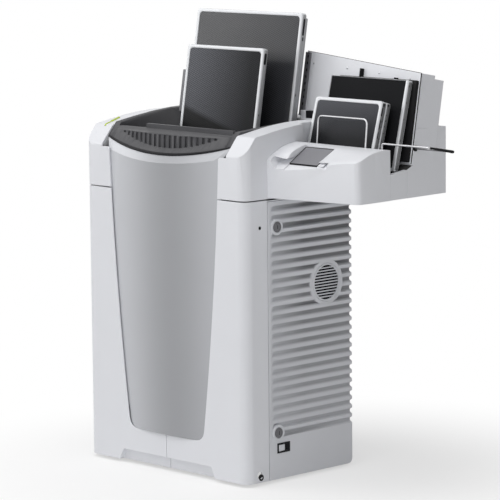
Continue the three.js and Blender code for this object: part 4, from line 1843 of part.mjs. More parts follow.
const coolingFan = () => {
  const half = FAN_SIZE / 2;
  const square = prismX(filleted(rectangle([-half, half], [-half, half]), FAN_CORNER), [0, FAN_DEPTH]);
  const bore = rod(half - FAN_RIM, [-OVERRUN, 0, 0], [FAN_DEPTH + OVERRUN, 0, 0]);
  const hub = rod(FAN_HUB, [0, 0, 0], [FAN_STRUT, 0, 0]);
  const struts = [0, 1, 2].map((k) =>
    box(
      [0, FAN_STRUT / 2],
      [0, half - FAN_RIM / 2],
      [-FAN_STRUT / 2, FAN_STRUT / 2],
    ).rotate([k * FAN_STRUT_TURN, 0, 0]),
  );
  const x = FRAME_X - POST_INSET + FIT;
  place("fan_frame", join(cut(square, bore), hub, ...struts), blackPlastic).position.set(x, VENT_Y, VENT_Z);
  const start = FAN_STRUT + RUNNING_GAP;
  const centre = rod(FAN_HUB, [start, 0, 0], [FAN_DEPTH - FIT, 0, 0]);
  const length = half - FAN_RIM - 2 * RUNNING_GAP;
  const middle = (start + FAN_DEPTH - FIT) / 2;
  const blades = Array.from({ length: FAN_BLADES }, (_, k) =>
    box(
      [-FAN_CHORD / 2, FAN_CHORD / 2],
      [-FAN_BLADE_THICKNESS / 2, FAN_BLADE_THICKNESS / 2],
      [FAN_HUB / 2, length],
    )
      .rotate([0, 0, FAN_BLADE_PITCH])
      .translate([middle, 0, 0])
      .rotate([(k * FAN_TURN) / FAN_BLADES, 0, 0]),
  );
  const swept = rod(length, [start, 0, 0], [FAN_DEPTH - FIT, 0, 0]);
  place("fan_rotor", join(centre, ...blades).intersect(swept), blackPlastic).position.set(x, VENT_Y, VENT_Z);
};

frontCovers();
frontPanel();
sidePanelLeft();
sideDoor();
ventGrille();
lock("lock_upper", LOCK_UPPER_Z);
lock("lock_lower", LOCK_LOWER_Z);
powerSwitch();
rearPanel();
connectorBlock();
topCover();
inputHopper();
statusLight();
inputBackrest();
cassettes();
outputFrontHousing();
outputTray();
outputSideCover();
backPlateGroup();
rearHousing();
pusherUnit();
wires();
baseFrame();
levellingFeet();
chassis();
rollers();
driveMotor();
belts();
scanUnit();
eraserUnit();
phosphorPlate();
powerSupply();
controlBoard();
coolingFan();

// The origin lies under the middle of the whole part's box, on the floor
const bounds = new THREE.Box3().setFromObject(machine, true);
machine.name = "machine";
machine.position.set(-(bounds.min.x + bounds.max.x) / 2, -(bounds.min.y + bounds.max.y) / 2, -bounds.min.z);
const scanner = new THREE.Group();
scanner.name = "phosphor_plate_scanner";
scanner.add(machine);
export default scanner;
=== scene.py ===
"""A phosphor plate scanner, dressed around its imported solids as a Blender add-on."""

import json
from math import cos, pi, radians, sin

import bmesh
import bpy
import numpy as np
from bpy.props import FloatProperty, FloatVectorProperty, PointerProperty
from mathutils import Matrix, Vector
from mathutils.bvhtree import BVHTree


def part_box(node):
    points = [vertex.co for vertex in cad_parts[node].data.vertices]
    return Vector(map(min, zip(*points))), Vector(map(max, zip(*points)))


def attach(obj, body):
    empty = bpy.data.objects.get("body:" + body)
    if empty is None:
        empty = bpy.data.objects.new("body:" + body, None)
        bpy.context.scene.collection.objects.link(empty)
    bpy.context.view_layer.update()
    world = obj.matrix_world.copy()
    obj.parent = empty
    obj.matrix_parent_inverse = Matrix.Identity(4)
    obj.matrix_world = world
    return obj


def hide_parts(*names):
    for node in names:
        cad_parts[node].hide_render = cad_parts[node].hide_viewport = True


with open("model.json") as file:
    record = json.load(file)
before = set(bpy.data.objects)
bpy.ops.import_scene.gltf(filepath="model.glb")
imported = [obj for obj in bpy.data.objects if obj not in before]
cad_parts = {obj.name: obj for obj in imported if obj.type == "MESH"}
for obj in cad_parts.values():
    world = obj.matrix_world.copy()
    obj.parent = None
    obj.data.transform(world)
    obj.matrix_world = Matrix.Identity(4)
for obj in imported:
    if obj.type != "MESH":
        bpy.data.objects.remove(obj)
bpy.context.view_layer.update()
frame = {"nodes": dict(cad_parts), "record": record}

bl_info = {
    "name": "Phosphor Plate Scanner",
    "version": (1, 0, 0),
    "blender": (4, 5, 0),
    "location": "View3D > Sidebar > Scanner",
    "description": "Dresses the plate scanner's solids with moulded skins, finishes and a studio",
    "category": "Object",
}

MM = 0.001
SLOT_OF = {row["node"]: row["material_slot"] for row in frame["record"]["subparts"]}
BODY_OF = {n: b for b, members in frame["record"]["behaviour"]["bodies"].items() for n in members}


def colour(name, description, default):
    """A colour property in linear light."""
    return FloatVectorProperty(name=name, description=description, default=default,
                               subtype="COLOR", size=3, min=0.0, max=1.0)


def power(name, description, default):
    """The power of a lamp."""
    return FloatProperty(name=name, description=description, default=default, subtype="POWER", unit="POWER")


class ScannerColours(bpy.types.PropertyGroup):
    """The colours of the machine's finishes."""
    white_plastic: colour("White plastic", "Moulded covers of the machine", (0.775, 0.785, 0.82))
    grey_paint: colour("Grey paint", "Ribbed side panels and the back", (0.72, 0.73, 0.765))
    silver_paint: colour("Silver paint", "Bowed front panel", (0.58, 0.59, 0.62))
    dark_plastic: colour("Dark plastic", "Input hopper and output tray", (0.078, 0.078, 0.084))
    black_plastic: colour("Black plastic", "Switch frame, sockets and inner housings", (0.012, 0.012, 0.014))
    black_paint: colour("Black paint", "Base frame", (0.016, 0.016, 0.018))
    black_rubber: colour("Black rubber", "Rollers, belts, feet and edge strips", (0.010, 0.010, 0.011))
    steel: colour("Steel", "Locks and inner sheet metal", (0.52, 0.53, 0.55))
    bright_wire: colour("Bright wire", "Bent wires of the output tray", (0.70, 0.70, 0.72))
    aluminium: colour("Aluminium", "Eraser and power supply housings", (0.62, 0.63, 0.65))
    cassette_frame: colour("Cassette frame", "Rims of the cassettes", (0.60, 0.61, 0.63))
    cassette_sheet: colour("Cassette sheet", "Faces of the cassettes", (0.030, 0.031, 0.035))
    screen: colour("Screen", "Cover of the touch screen", (0.20, 0.20, 0.22))
    status_lens: colour("Status lens", "Lens of the status light", (0.50, 0.62, 0.05))
    circuit_board: colour("Circuit board", "Control board", (0.03, 0.16, 0.07))
    phosphor: colour("Phosphor", "Imaging plate", (0.80, 0.84, 0.87))


class ScannerStage(bpy.types.PropertyGroup):
    """The studio: where the camera stands and how strong the lamps are."""
    camera_place: FloatVectorProperty(
        name="Camera place", description="Where the camera stands", size=3,
        default=(5.25650, -5.23960, 1.62208), subtype="TRANSLATION", unit="LENGTH")
    camera_forward: FloatVectorProperty(
        name="Camera direction", description="The way that the camera looks", size=3,
        default=(-0.70830, 0.69208, -0.13904), subtype="DIRECTION")
    camera_up: FloatVectorProperty(
        name="Camera up", description="The way that is up in the picture", size=3,
        default=(-0.09266, 0.10412, 0.99024), subtype="DIRECTION")
    lens: FloatProperty(name="Lens", description="Focal length on a 36 mm sensor",
                        default=209.15, unit="CAMERA")
    left_power: power("Left lamp", "Power of the lamp at the left", 54.0)
    right_power: power("Right lamp", "Power of the lamp at the right", 18.0)
    high_power: power("High lamp", "Power of the lamp high above the front", 34.0)
    camera_power: power("Camera lamp", "Power of the lamp beside the camera", 8.0)
    top_power: power("Top lamp", "Power of the lamp overhead", 74.0)
    front_power: power("Front lamp", "Power of the lamp in front", 40.0)
    room_light: FloatProperty(name="Room light", description="Strength of the even light all round",
                              default=0.20, min=0.0)
    backdrop: colour("Backdrop", "Colour that the camera sees around the machine", (1.0, 1.0, 1.0))


# ------------------------ shader groups

TURN = 2 * pi
KIND_OF = {"Color": "NodeSocketColor", "Normal": "NodeSocketVector"}


def wire(tree, kind, **values):
    """A new node with its properties and input values set; a socket value is linked, not copied."""
    made = tree.nodes.new(kind)
    for key, value in values.items():
        if key in made.bl_rna.properties:
            setattr(made, key, value)
            continue
        numbered = key[0] == "i" and key[1:].isdigit()
        socket = made.inputs[int(key[1:]) if numbered else key.replace("_", " ")]
        if isinstance(value, bpy.types.NodeSocket):
            tree.links.new(value, socket)
        else:
            socket.default_value = value
    return made


def calc(tree, operation, *values, **more):
    """What a math node makes of its values."""
    sockets = {f"i{number}": value for number, value in enumerate(values)}
    return wire(tree, "ShaderNodeMath", operation=operation, **sockets, **more).outputs[0]


def ramp(tree, value, *ends, **more):
    """A value carried from the range of the first two ends to that of the last two, 0 to 1 if left out."""
    sockets = {f"i{number}": end for number, end in enumerate(ends, 1)}
    return wire(tree, "ShaderNodeMapRange", Value=value, **sockets, **more).outputs[0]


def own_place(tree):
    """Where a point lies in its object."""
    return wire(tree, "ShaderNodeTexCoord").outputs["Object"]


def noise(tree, place, **values):
    """The level of a noise at a place."""
    return wire(tree, "ShaderNodeTexNoise", Vector=place, **values).outputs["Fac"]


def along(tree, first, second):
    """The length of one vector along another."""
    return wire(tree, "ShaderNodeVectorMath", operation="DOT_PRODUCT", i0=first, i1=second).outputs["Value"]


def blend(tree, share, first, second):
    """A share of the second colour over the first."""
    return wire(tree, "ShaderNodeMix", data_type="RGBA", Factor=share, i6=first, i7=second).outputs[2]


def new_group(name, results, **inputs):
    """An empty shader group with its input and output sockets. An input without a value is a colour, one with
    three numbers is a vector and one with a single number is a value."""
    group = bpy.data.node_groups.new(name, "ShaderNodeTree")
    for label, default in inputs.items():
        kind = "Color" if default is None else "Vector" if isinstance(default, tuple) else "Float"
        socket = group.interface.new_socket(name=label, in_out="INPUT", socket_type="NodeSocket" + kind)
        if default is not None:
            socket.default_value = default
    for label in results.split():
        kind = KIND_OF.get(label, "NodeSocketFloat")
        group.interface.new_socket(name=label, in_out="OUTPUT", socket_type=kind)
    group.nodes.new("NodeGroupOutput")
    return group, group.nodes.new("NodeGroupInput").outputs


def hand_out(group, **results):
    """Links every result of a group to the output of its name."""
    for label, source in results.items():
        group.links.new(source, group.nodes["Group Output"].inputs[label])


def hand_out_shaded(group, given, level, **results):
    """Hands out the group's colour made darker or lighter by a level about 1, and its other results."""
    shaded = wire(group, "ShaderNodeHueSaturation", Color=given["Color"], Value=level)
    hand_out(group, Color=shaded.outputs[0], **results)


def mottle_group():
    """Slow and fine clouds of noise that darken and lighten a colour by a few hundredths."""
    group, given = new_group("surface_mottle", "Color", Color=None, Amount=0.04, Scale=6.0)
    clouds = noise(group, own_place(group), Scale=given["Scale"], Detail=5.0, Roughness=0.6)
    swing = calc(group, "MULTIPLY", calc(group, "SUBTRACT", clouds, 0.5), given["Amount"])
    hand_out_shaded(group, given, calc(group, "ADD", swing, 1.0))


def grain_group():
    """Fine moulded or sprayed texture: the fine noise is the height, and with a broad noise the roughness."""
    group, given = new_group("fine_grain", "Height Roughness", Scale=900.0, Roughness=0.45, Spread=0.08)
    place = own_place(group)
    fine = noise(group, place, Scale=given["Scale"], Detail=2.0)
    both = calc(group, "ADD", fine, noise(group, place, Scale=11.0, Detail=4.0))
    off = calc(group, "SUBTRACT", both, 1.0)
    swing = calc(group, "MULTIPLY_ADD", off, given["Spread"], given["Roughness"])
    hand_out(group, Height=fine, Roughness=swing)


def edge_group():
    """Edge wear and painted highlight: how far a rounded normal departs from the true one lightens the edges
    towards an edge colour, broken up by noise.
    """
    group, given = new_group("edge_wear", "Color Normal", Radius=0.0015, Amount=0.5, Color=None,
                                  Worn=None)
    soft = wire(group, "ShaderNodeBevel", samples=4, Radius=given["Radius"]).outputs[0]
    straight = along(group, soft, wire(group, "ShaderNodeNewGeometry").outputs["Normal"])
    patches = ramp(group, noise(group, own_place(group), Scale=38.0, Detail=6.0, Roughness=0.7), 0.42, 0.66)
    mask = calc(group, "MULTIPLY", ramp(group, straight, 0.999, 0.86), patches)
    part = calc(group, "MULTIPLY", mask, given["Amount"], use_clamp=True)
    hand_out(group, Color=blend(group, part, given["Color"], given["Worn"]), Normal=soft)


def dust_group():
    """A thin settled dust: more where a face looks up, in patches."""
    group, given = new_group("settled_dust", "Color", Color=None, Dust=None, Amount=0.1)
    normal = wire(group, "ShaderNodeNewGeometry").outputs["Normal"]
    upward = ramp(group, wire(group, "ShaderNodeSeparateXYZ", i0=normal).outputs["Z"], 0.2, 1.0)
    here = calc(group, "MULTIPLY", upward, noise(group, own_place(group), Scale=17.0, Detail=7.0))
    part = calc(group, "MULTIPLY", here, given["Amount"])
    hand_out(group, Color=blend(group, part, given["Color"], given["Dust"]))


def streak_group():
    """Brushed or drawn metal: noise stretched along one axis, out as a height and a roughness."""
    group, given = new_group("drawn_streaks", "Height Roughness", Stretch=(1.0, 60.0, 60.0), Roughness=0.3,
                                  Spread=0.15)
    pulled = wire(group, "ShaderNodeVectorMath", operation="MULTIPLY", i0=own_place(group),
                  i1=given["Stretch"]).outputs[0]
    lines = noise(group, pulled, Scale=12.0, Detail=3.0)
    off = calc(group, "SUBTRACT", lines, 0.5)
    swing = calc(group, "MULTIPLY_ADD", off, given["Spread"], given["Roughness"])
    hand_out(group, Height=lines, Roughness=swing)


def valley_shade_group():
    """Painted shade in the valleys of a ribbed panel: the further a point lies inside the crests' plane, the
    darker;
    the painted shade grows from the panel's front edge backwards and from its foot upwards."""
    group, given = new_group("rib_valleys", "Color", Color=None, Middle=0.0, Valley=0.29, Crest=0.30,
                                  Front=-0.12, Back=-0.02, Low=0.1, High=0.6, Amount=0.5)
    apart = wire(group, "ShaderNodeSeparateXYZ", i0=own_place(group)).outputs
    far = calc(group, "ABSOLUTE", calc(group, "SUBTRACT", apart["X"], given["Middle"]))
    deep = ramp(group, far, given["Valley"], given["Crest"], 1.0, 0.0)
    fade = ramp(group, apart["Y"], given["Front"], given["Back"], 0.25, 1.0)
    height = ramp(group, apart["Z"], given["Low"], given["High"], 0.3, 1.0)
    tall = calc(group, "MULTIPLY", calc(group, "MULTIPLY", deep, fade), height)
    level = calc(group, "SUBTRACT", 1.0, calc(group, "MULTIPLY", tall, given["Amount"]))
    hand_out_shaded(group, given, level)


def twill_group():
    """Woven carbon: a sine along the twill's slant and a weaker one along its threads lighten and darken the
    colour and give the height."""
    group, given = new_group("carbon_twill", "Color Height", Color=None, Slant=(90.0, 0.0, -190.0),
                                  Thread=(150.0, 0.0, 90.0), Contrast=0.35)
    place = own_place(group)
    slant, thread = (calc(group, "SINE", calc(group, "MULTIPLY", along(group, place, given[way]), TURN))
                     for way in ("Slant", "Thread"))
    woven = calc(group, "MULTIPLY_ADD", thread, 0.3, slant)
    level = calc(group, "ADD", calc(group, "MULTIPLY", woven, given["Contrast"]), 1.0)
    hand_out_shaded(group, given, level, Height=woven)


def panel_reflection_group():
    """Painted reflection on the bowed metallic panel: a bell curve of the distance from a plane lowers the
    colour by an amount, so that the panel looks darker where it faces straight ahead."""
    group, given = new_group("bowed_sheen", "Color", Color=None, Middle=0.0, Width=0.14, Amount=0.35)
    side = wire(group, "ShaderNodeSeparateXYZ", i0=own_place(group)).outputs["X"]
    share = calc(group, "DIVIDE", calc(group, "SUBTRACT", side, given["Middle"]), given["Width"])
    bell = calc(group, "EXPONENT", calc(group, "MULTIPLY", calc(group, "MULTIPLY", share, share), -1.0))
    level = calc(group, "SUBTRACT", 1.0, calc(group, "MULTIPLY", bell, given["Amount"]))
    hand_out_shaded(group, given, level)


def reflection_shade_group():
    """Painted dark reflection and shade on a face: the colour falls from the left to a share at the right,
    and below a slanting line to a share of it."""
    group, given = new_group("mirror_fade", "Color", Color=None, Left=0.0, Right=1.0, Far=0.3, Slant=0.0,
                                  Low=0.0, High=1.0, Dark=0.1)
    apart = wire(group, "ShaderNodeSeparateXYZ", i0=own_place(group)).outputs
    across = ramp(group, apart["X"], given["Left"], given["Right"], 1.0, given["Far"])
    lean = calc(group, "MULTIPLY_ADD", apart["X"], given["Slant"], apart["Z"])
    upward = ramp(group, lean, given["Low"], given["High"], given["Dark"], 1.0)
    hand_out_shaded(group, given, calc(group, "MULTIPLY", across, upward))


MIDDLE_X = -0.202
# finish: roughness, metallic, mottle, grain size, grain bump, edge radius (mm), edge wear and painted
# highlight, edge colour, dust
FINISHES = {
    "white_plastic": (0.42, 0, 0.04, 900, 0.05, 1.5, 0.25, (0.86, 0.86, 0.87), 0.04),
    "grey_paint": (0.5, 0, 0.07, 700, 0.06, 1.2, 0.3, (0.76, 0.76, 0.78), 0.05),
    "ribbed_paint": (0.5, 0, 0.07, 700, 0.06, 1.2, 0.2, (0.74, 0.74, 0.77), 0.04),
    "silver_paint": (0.36, 0.25, 0.05, 1500, 0.05, 1.5, 0.25, (0.72, 0.72, 0.74), 0.03),
    "dark_plastic": (0.52, 0, 0.16, 1100, 0.12, 1, 0.5, (0.2, 0.2, 0.21), 0.1),
    "black_plastic": (0.5, 0, 0.3, 1100, 0.08, 0.6, 0.5, (0.05, 0.05, 0.055), 0.06),
    "black_paint": (0.55, 0, 0.3, 800, 0.1, 0.8, 0.6, (0.1, 0.1, 0.11), 0.2),
    "black_rubber": (0.75, 0, 0.3, 1300, 0.14, 0.8, 0.6, (0.05, 0.05, 0.05), 0.15),
    "steel": (0.32, 1, 0.1, 600, 0.03, 0.4, 0.5, (0.75, 0.76, 0.78), 0.05),
    "bright_wire": (0.34, 1, 0.06, 500, 0.01, 0.3, 0.2, (0.72, 0.72, 0.74), 0),
    "aluminium": (0.38, 1, 0.08, 600, 0.03, 0.6, 0.4, (0.8, 0.8, 0.82), 0.05),
    "cassette_frame": (0.36, 0.35, 0.07, 1200, 0.04, 0.8, 0.6, (0.82, 0.82, 0.84), 0.03),
    "cassette_sheet": (0.2, 0, 0.14, 1400, 0.05, 0.6, 0.4, (0.1, 0.1, 0.11), 0.01),
    "small_sheet": (0.35, 0, 0.1, 1400, 0.05, 0.6, 0.3, (0.1, 0.1, 0.11), 0.01),
    "channel_grey": (0.5, 0, 0.16, 1100, 0.1, 1, 0.4, (0.3, 0.3, 0.31), 0.1),
    "cassette_wall": (0.45, 0.2, 0.1, 1200, 0.06, 0.6, 0.4, (0.6, 0.6, 0.62), 0.08),
    "output_wall": (0.45, 0.2, 0.14, 1200, 0.06, 0.6, 0.4, (0.45, 0.45, 0.47), 0.08),
    "dim_sheet": (0.42, 0, 0.14, 1400, 0.05, 0.6, 0.3, (0.06, 0.06, 0.07), 0.01),
    "black_sheet": (0.5, 0, 0.14, 1400, 0.05, 0.6, 0.3, (0.04, 0.04, 0.05), 0),
    "screen": (0.3, 0, 0.04, 1400, 0.01, 0.6, 0.2, (0.35, 0.35, 0.37), 0.04),
    "status_lens": (0.18, 0, 0.1, 900, 0.02, 0.4, 0.2, (0.75, 0.82, 0.3), 0),
    "circuit_board": (0.35, 0, 0.25, 260, 0.1, 0.3, 0.4, (0.1, 0.35, 0.16), 0.1),
    "phosphor": (0.6, 0, 0.03, 1800, 0.04, 0.3, 0.2, (0.86, 0.88, 0.9), 0),
}
# the nodes whose look isn't that of their slot
LOOK_OF = {"side_panel_left": "ribbed_paint", "side_panel_right": "ribbed_paint",
           "output_tray": "black_plastic", "plate_edge_channel": "channel_grey",
           "output_back_plate": "white_plastic", "pusher_bracket": "white_plastic",
           "pusher_block": "black_plastic", "input_small_sheet": "small_sheet",
           "output_front_sheet": "dim_sheet", "output_rear_sheet": "black_sheet"}
# the looks that aren't plain slots: the slot of each, and how much lighter or darker than the slot it is; the
# lighter sheets paint their reflection into the colour, the darker one paints shade
VARIANTS = {"ribbed_paint": ("grey_paint", 1.0), "dim_sheet": ("cassette_sheet", 2.6),
            "black_sheet": ("cassette_sheet", 0.3), "small_sheet": ("cassette_sheet", 3.0),
            # the walls' looks are darker copies of the frame: painted shade
            "channel_grey": ("dark_plastic", 1.9), "cassette_wall": ("cassette_frame", 0.55),
            "output_wall": ("cassette_frame", 0.26), "bright_wire": ("bright_wire", 0.7)}
# extra patterns of a finish: group, its inputs
PATTERNS = {
    "ribbed_paint": (("rib_valleys", {
        "Middle": MIDDLE_X, "Valley": 0.2917, "Crest": 0.2995, "Front": -0.115, "Back": 0.0, "Low": 0.10,
        "High": 0.62, "Amount": 0.76}),),
    "cassette_sheet": (("carbon_twill", {"Contrast": 0.45}),),
    "small_sheet": (("mirror_fade", {
        "Left": -0.31, "Right": -0.10, "Far": 0.16, "Slant": 0.281, "Low": 0.833, "High": 0.848,
        "Dark": 0.06}), ("carbon_twill", {"Contrast": 0.5})),
    "dim_sheet": (("mirror_fade", {
        "Left": 0.10, "Right": 0.31, "Far": 0.8, "Slant": 0.0, "Low": 0.88, "High": 0.965, "Dark": 0.22}),
        ("carbon_twill", {"Contrast": 0.25})),
    "black_sheet": (("carbon_twill", {"Contrast": 0.25}),),
    "silver_paint": (("bowed_sheen", {"Middle": -0.16, "Width": 0.15, "Amount": 0.42}),),
}
# how strongly a finish mirrors where it isn't 0.5
# the sheets mirror little because their colour holds painted reflection
SPECULAR_OF = {"cassette_sheet": 0.34, "small_sheet": 0.1, "dim_sheet": 0.1, "black_sheet": 0.05,
               "black_plastic": 0.12, "black_rubber": 0.12, "dark_plastic": 0.2, "ribbed_paint": 0.3,
               "grey_paint": 0.3}
MOTTLE_SCALE = 5.0
DUST = (0.55, 0.54, 0.52, 1.0)
GRAIN_HEIGHT, WEAVE_HEIGHT, WEAVE_STRENGTH = 0.0004, 0.0003, 0.4


def use(tree, name, **values):
    """The outputs of a shader group put into a tree."""
    return wire(tree, "ShaderNodeGroup", node_tree=bpy.data.node_groups[name], **values).outputs


def new_material(name):
    """A new material, its node tree and the inputs of its shader."""
    made = bpy.data.materials.new(name)
    made.use_nodes = True
    return made, made.node_tree, made.node_tree.nodes["Principled BSDF"].inputs


def finish_material(look, tint):
    """One finish: mottled colour, its patterns, edges lightened by wear and painted highlight, a little dust,
    grain in roughness and bump.
    """
    rough, metallic, mottle, scale, bump, radius, wear, edge_colour, dust = FINISHES[look]
    made, tree, shader = new_material(look + "_finish")
    made.diffuse_color = (*tint, 1.0)
    base = use(tree, "surface_mottle", Color=(*tint, 1.0), Amount=mottle, Scale=MOTTLE_SCALE)
    for name, values in PATTERNS.get(look, ()):
        base = use(tree, name, Color=base["Color"], **values)
    # the lighter edges are wear and painted highlight
    edges = use(tree, "edge_wear", Radius=radius * MM, Amount=wear, Color=base["Color"], Worn=(*edge_colour, 1.0))
    dusty = use(tree, "settled_dust", Amount=dust, Color=edges["Color"], Dust=DUST)
    if metallic == 1.0:
        grain = use(tree, "drawn_streaks", Roughness=rough)
    else:
        grain = use(tree, "fine_grain", Roughness=rough, Scale=scale)
    relief = wire(tree, "ShaderNodeBump", Strength=bump, Distance=GRAIN_HEIGHT, Height=grain["Height"],
                  Normal=edges["Normal"]).outputs[0]
    if "Height" in base:
        relief = wire(tree, "ShaderNodeBump", Strength=WEAVE_STRENGTH, Distance=WEAVE_HEIGHT,
                      Height=base["Height"], Normal=relief).outputs[0]
    shader["Metallic"].default_value = metallic
    shader["Specular IOR Level"].default_value = SPECULAR_OF.get(look, 0.5)
    for source, socket in ((dusty["Color"], "Base Color"), (grain["Roughness"], "Roughness"),
                           (relief, "Normal")):
        tree.links.new(source, shader[socket])


def new_object(name, data):
    """A new object in the scene."""
    made = bpy.data.objects.new(name, data)
    bpy.context.scene.collection.objects.link(made)
    return made


def finish(look):
    """The material made for a look, which is a slot of the record or one of its variants."""
    return bpy.data.materials[look + "_finish"]


class SCANNER_OT_finishes(bpy.types.Operator):
    """Builds the shader groups and every finish, and puts them on the solids"""
    bl_idname = "scanner.finishes"
    bl_label = "Finishes"

    def execute(self, context):
        for build in (mottle_group, grain_group, edge_group, dust_group, streak_group, valley_shade_group,
                      twill_group, panel_reflection_group, reflection_shade_group):
            build()
        tints = context.scene.scanner_colours
        for look in FINISHES:
            slot, share = VARIANTS.get(look, (look, 1.0))
            finish_material(look, tuple(share * part for part in getattr(tints, slot)))
        for name, obj in frame["nodes"].items():
            obj.data.materials.clear()
            obj.data.materials.append(finish(LOOK_OF.get(name, SLOT_OF[name])))
        return {"FINISHED"}


# ------------------------ surfaces

# directions of the right side: back, up and out
SIDE = np.array(((0, 1.0, 0), (0, 0, 1.0), (1.0, 0, 0)))


def leaning(lean):
    """Three directions of a face that leans back by an angle: across, up along the face, and out of it."""
    turn = radians(lean)
    return np.array(((1.0, 0, 0), (0, sin(turn), cos(turn)), (0, -cos(turn), sin(turn))))


def surface(name, grid, loop=False):
    """A closed mesh over a (rows, columns, 3) grid of points in millimetres. Neighbours make quads and every
    row closes on itself; loop joins the last row to the first, otherwise a flat face shuts each of the two.
    The winding is turned so that the mesh encloses a positive volume."""
    rows, columns = grid.shape[:2]
    number = np.arange(rows * columns).reshape(rows, columns)
    faces = [] if loop else [number[0, ::-1].tolist(), number[-1].tolist()]
    if loop:
        number = np.vstack((number, number[:1]))
    number = np.hstack((number, number[:, :1]))
    corners = (number[:-1, :-1], number[:-1, 1:], number[1:, 1:], number[1:, :-1])
    faces += np.stack(corners, -1).reshape(-1, 4).tolist()
    mesh = bpy.data.meshes.new(name)
    mesh.from_pydata((grid.reshape(-1, 3) * MM).tolist(), [], faces)
    shape = bmesh.new()
    shape.from_mesh(mesh)
    if shape.calc_volume(signed=True) < 0:
        bmesh.ops.reverse_faces(shape, faces=shape.faces)
    shape.to_mesh(mesh)
    shape.free()
    return mesh


def rounded_rows(size, frame_widths, steps, fineness=6):
    """Rows of rounded rectangles, one for each (edge, share, depth, corner) step. A side lies edge plus share
    times its frame width inside the outline, and each corner is a quarter turn about a centre that lies the
    corner radius inside both sides."""
    edge, share, depth, corner = np.array(steps, float).T[:, :, None]
    left, bottom, right, top = frame_widths
    turn = np.radians(np.arange(4)[:, None] * 90 + np.linspace(0, 90, fineness)).ravel()
    right_side = np.repeat(np.array((1, 0, 0, 1.0)), fineness)
    upper_side = np.repeat(np.array((1, 1.0, 0, 0)), fineness)
    low = np.stack([edge + share * width + corner for width in (left, bottom)])
    high = np.stack([span - edge - share * width - corner for span, width in zip(size, (right, top))])
    across = right_side * high[0] + (1 - right_side) * low[0] + corner * np.cos(turn)
    upward = upper_side * high[1] + (1 - upper_side) * low[1] + corner * np.sin(turn)
    return np.stack(np.broadcast_arrays(across, upward, -depth), -1)


def piece(name, mesh, look, body="machine", replaces=(), sharp=35.0, slot=None):
    """The mesh becomes a piece that wears a look, rides a body and stands for the given nodes."""
    made = new_object(name, mesh)
    mesh.shade_smooth()
    mesh.set_sharp_from_angle(angle=radians(sharp))
    mesh.materials.append(finish(look))
    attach(made, body)
    if replaces:
        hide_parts(*replaces)
    return made


def plate(name, centre, axes, size, look, body="machine", *, thick, corner=1.0, edge=0.4, **more):
    """A rounded plate on a plane: the rows run up its wall and over its rounded edge to its face."""
    steps = [(0, 0, 0, corner), (0, 0, edge - thick, corner), (0.3 * edge, 0, 0.3 * edge - thick, corner),
             (edge, 0, -thick, max(corner - edge, 0.1))]
    rows = rounded_rows(size, (0, 0, 0, 0), steps, 4) - np.array((size[0] / 2, size[1] / 2, 0))
    return piece(name, surface(name, np.array(centre) + rows @ axes), look, body, **more)


def turned(name, centre, axes, profile, look, body="machine", sides=40, loop=False, **more):
    """A profile of (radius, height) points turned once about the direction that points out of the plane."""
    radius, height = np.array(profile, float).T[:, :, None]
    turn = np.linspace(0, TURN, sides, endpoint=False)
    rows = np.stack(np.broadcast_arrays(radius * np.cos(turn), radius * np.sin(turn), height), -1)
    return piece(name, surface(name, np.array(centre) + rows @ axes, loop), look, body, **more)


def bent(corners, bend, steps=8):
    """A path whose inner corners are rounded: from a bend's length before a corner to as far behind it runs a
    parabola, the corner being its control point."""
    corners = np.array(corners, float)
    share = np.linspace(0, 1, steps)[:, None]
    path = [corners[:1]]
    for before, corner, after in zip(corners[:-2], corners[1:-1], corners[2:]):
        start = corner + (before - corner) * bend / np.linalg.norm(before - corner)
        end = corner + (after - corner) * bend / np.linalg.norm(after - corner)
        path.append((1 - share) ** 2 * start + 2 * share * (1 - share) * corner + share ** 2 * end)
    return np.vstack(path + [corners[-1:]])


def tube(name, path, radii, look, body="machine", sides=14, **more):
    """A round section carried along a path, square to it at every station; the sideways direction is carried
    on from station to station without turning about the path."""
    path = np.array(path, float)
    ahead = np.gradient(path, axis=0)
    ahead /= np.linalg.norm(ahead, axis=1)[:, None]
    side = [np.cross(ahead[0], (0.31, 0.17, 0.93) if abs(ahead[0][2]) < 0.8 else (1.0, 0.1, 0))]
    for here in ahead[1:]:
        side.append(side[-1] - here * (side[-1] @ here))
    side = np.array(side) / np.linalg.norm(side, axis=1)[:, None]
    turn = np.linspace(0, TURN, sides, endpoint=False)[None, :, None]
    radii = np.broadcast_to(np.array(radii, float), len(path))[:, None, None]
    other = np.cross(ahead, side)
    rows = path[:, None] + radii * (np.cos(turn) * side[:, None] + np.sin(turn) * other[:, None])
    return piece(name, surface(name, rows), look, body, **more)


def mm_box(node):
    """The low and the high corner of a node's box in millimetres."""
    return [np.array(corner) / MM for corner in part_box(node)]


def slab_place(node, lean, thick):
    """Where a slab that leans back stands: the lower left corner of its face, its width and its height."""
    low, high = mm_box(node)
    turn = radians(lean)
    foot = np.array((low[0], low[1], low[2] + thick * sin(turn)))
    return foot, (high[0] - low[0], (high[2] - foot[2]) / cos(turn))


# ------------------------ pieces

# points closer than this become one (m)
MERGE = 0.00002
# degrees: below the first, faces are one flat face; above the second, an edge is rounded and stays sharp
FLAT_ANGLE, SHARP_ANGLE = 0.4, 28.0


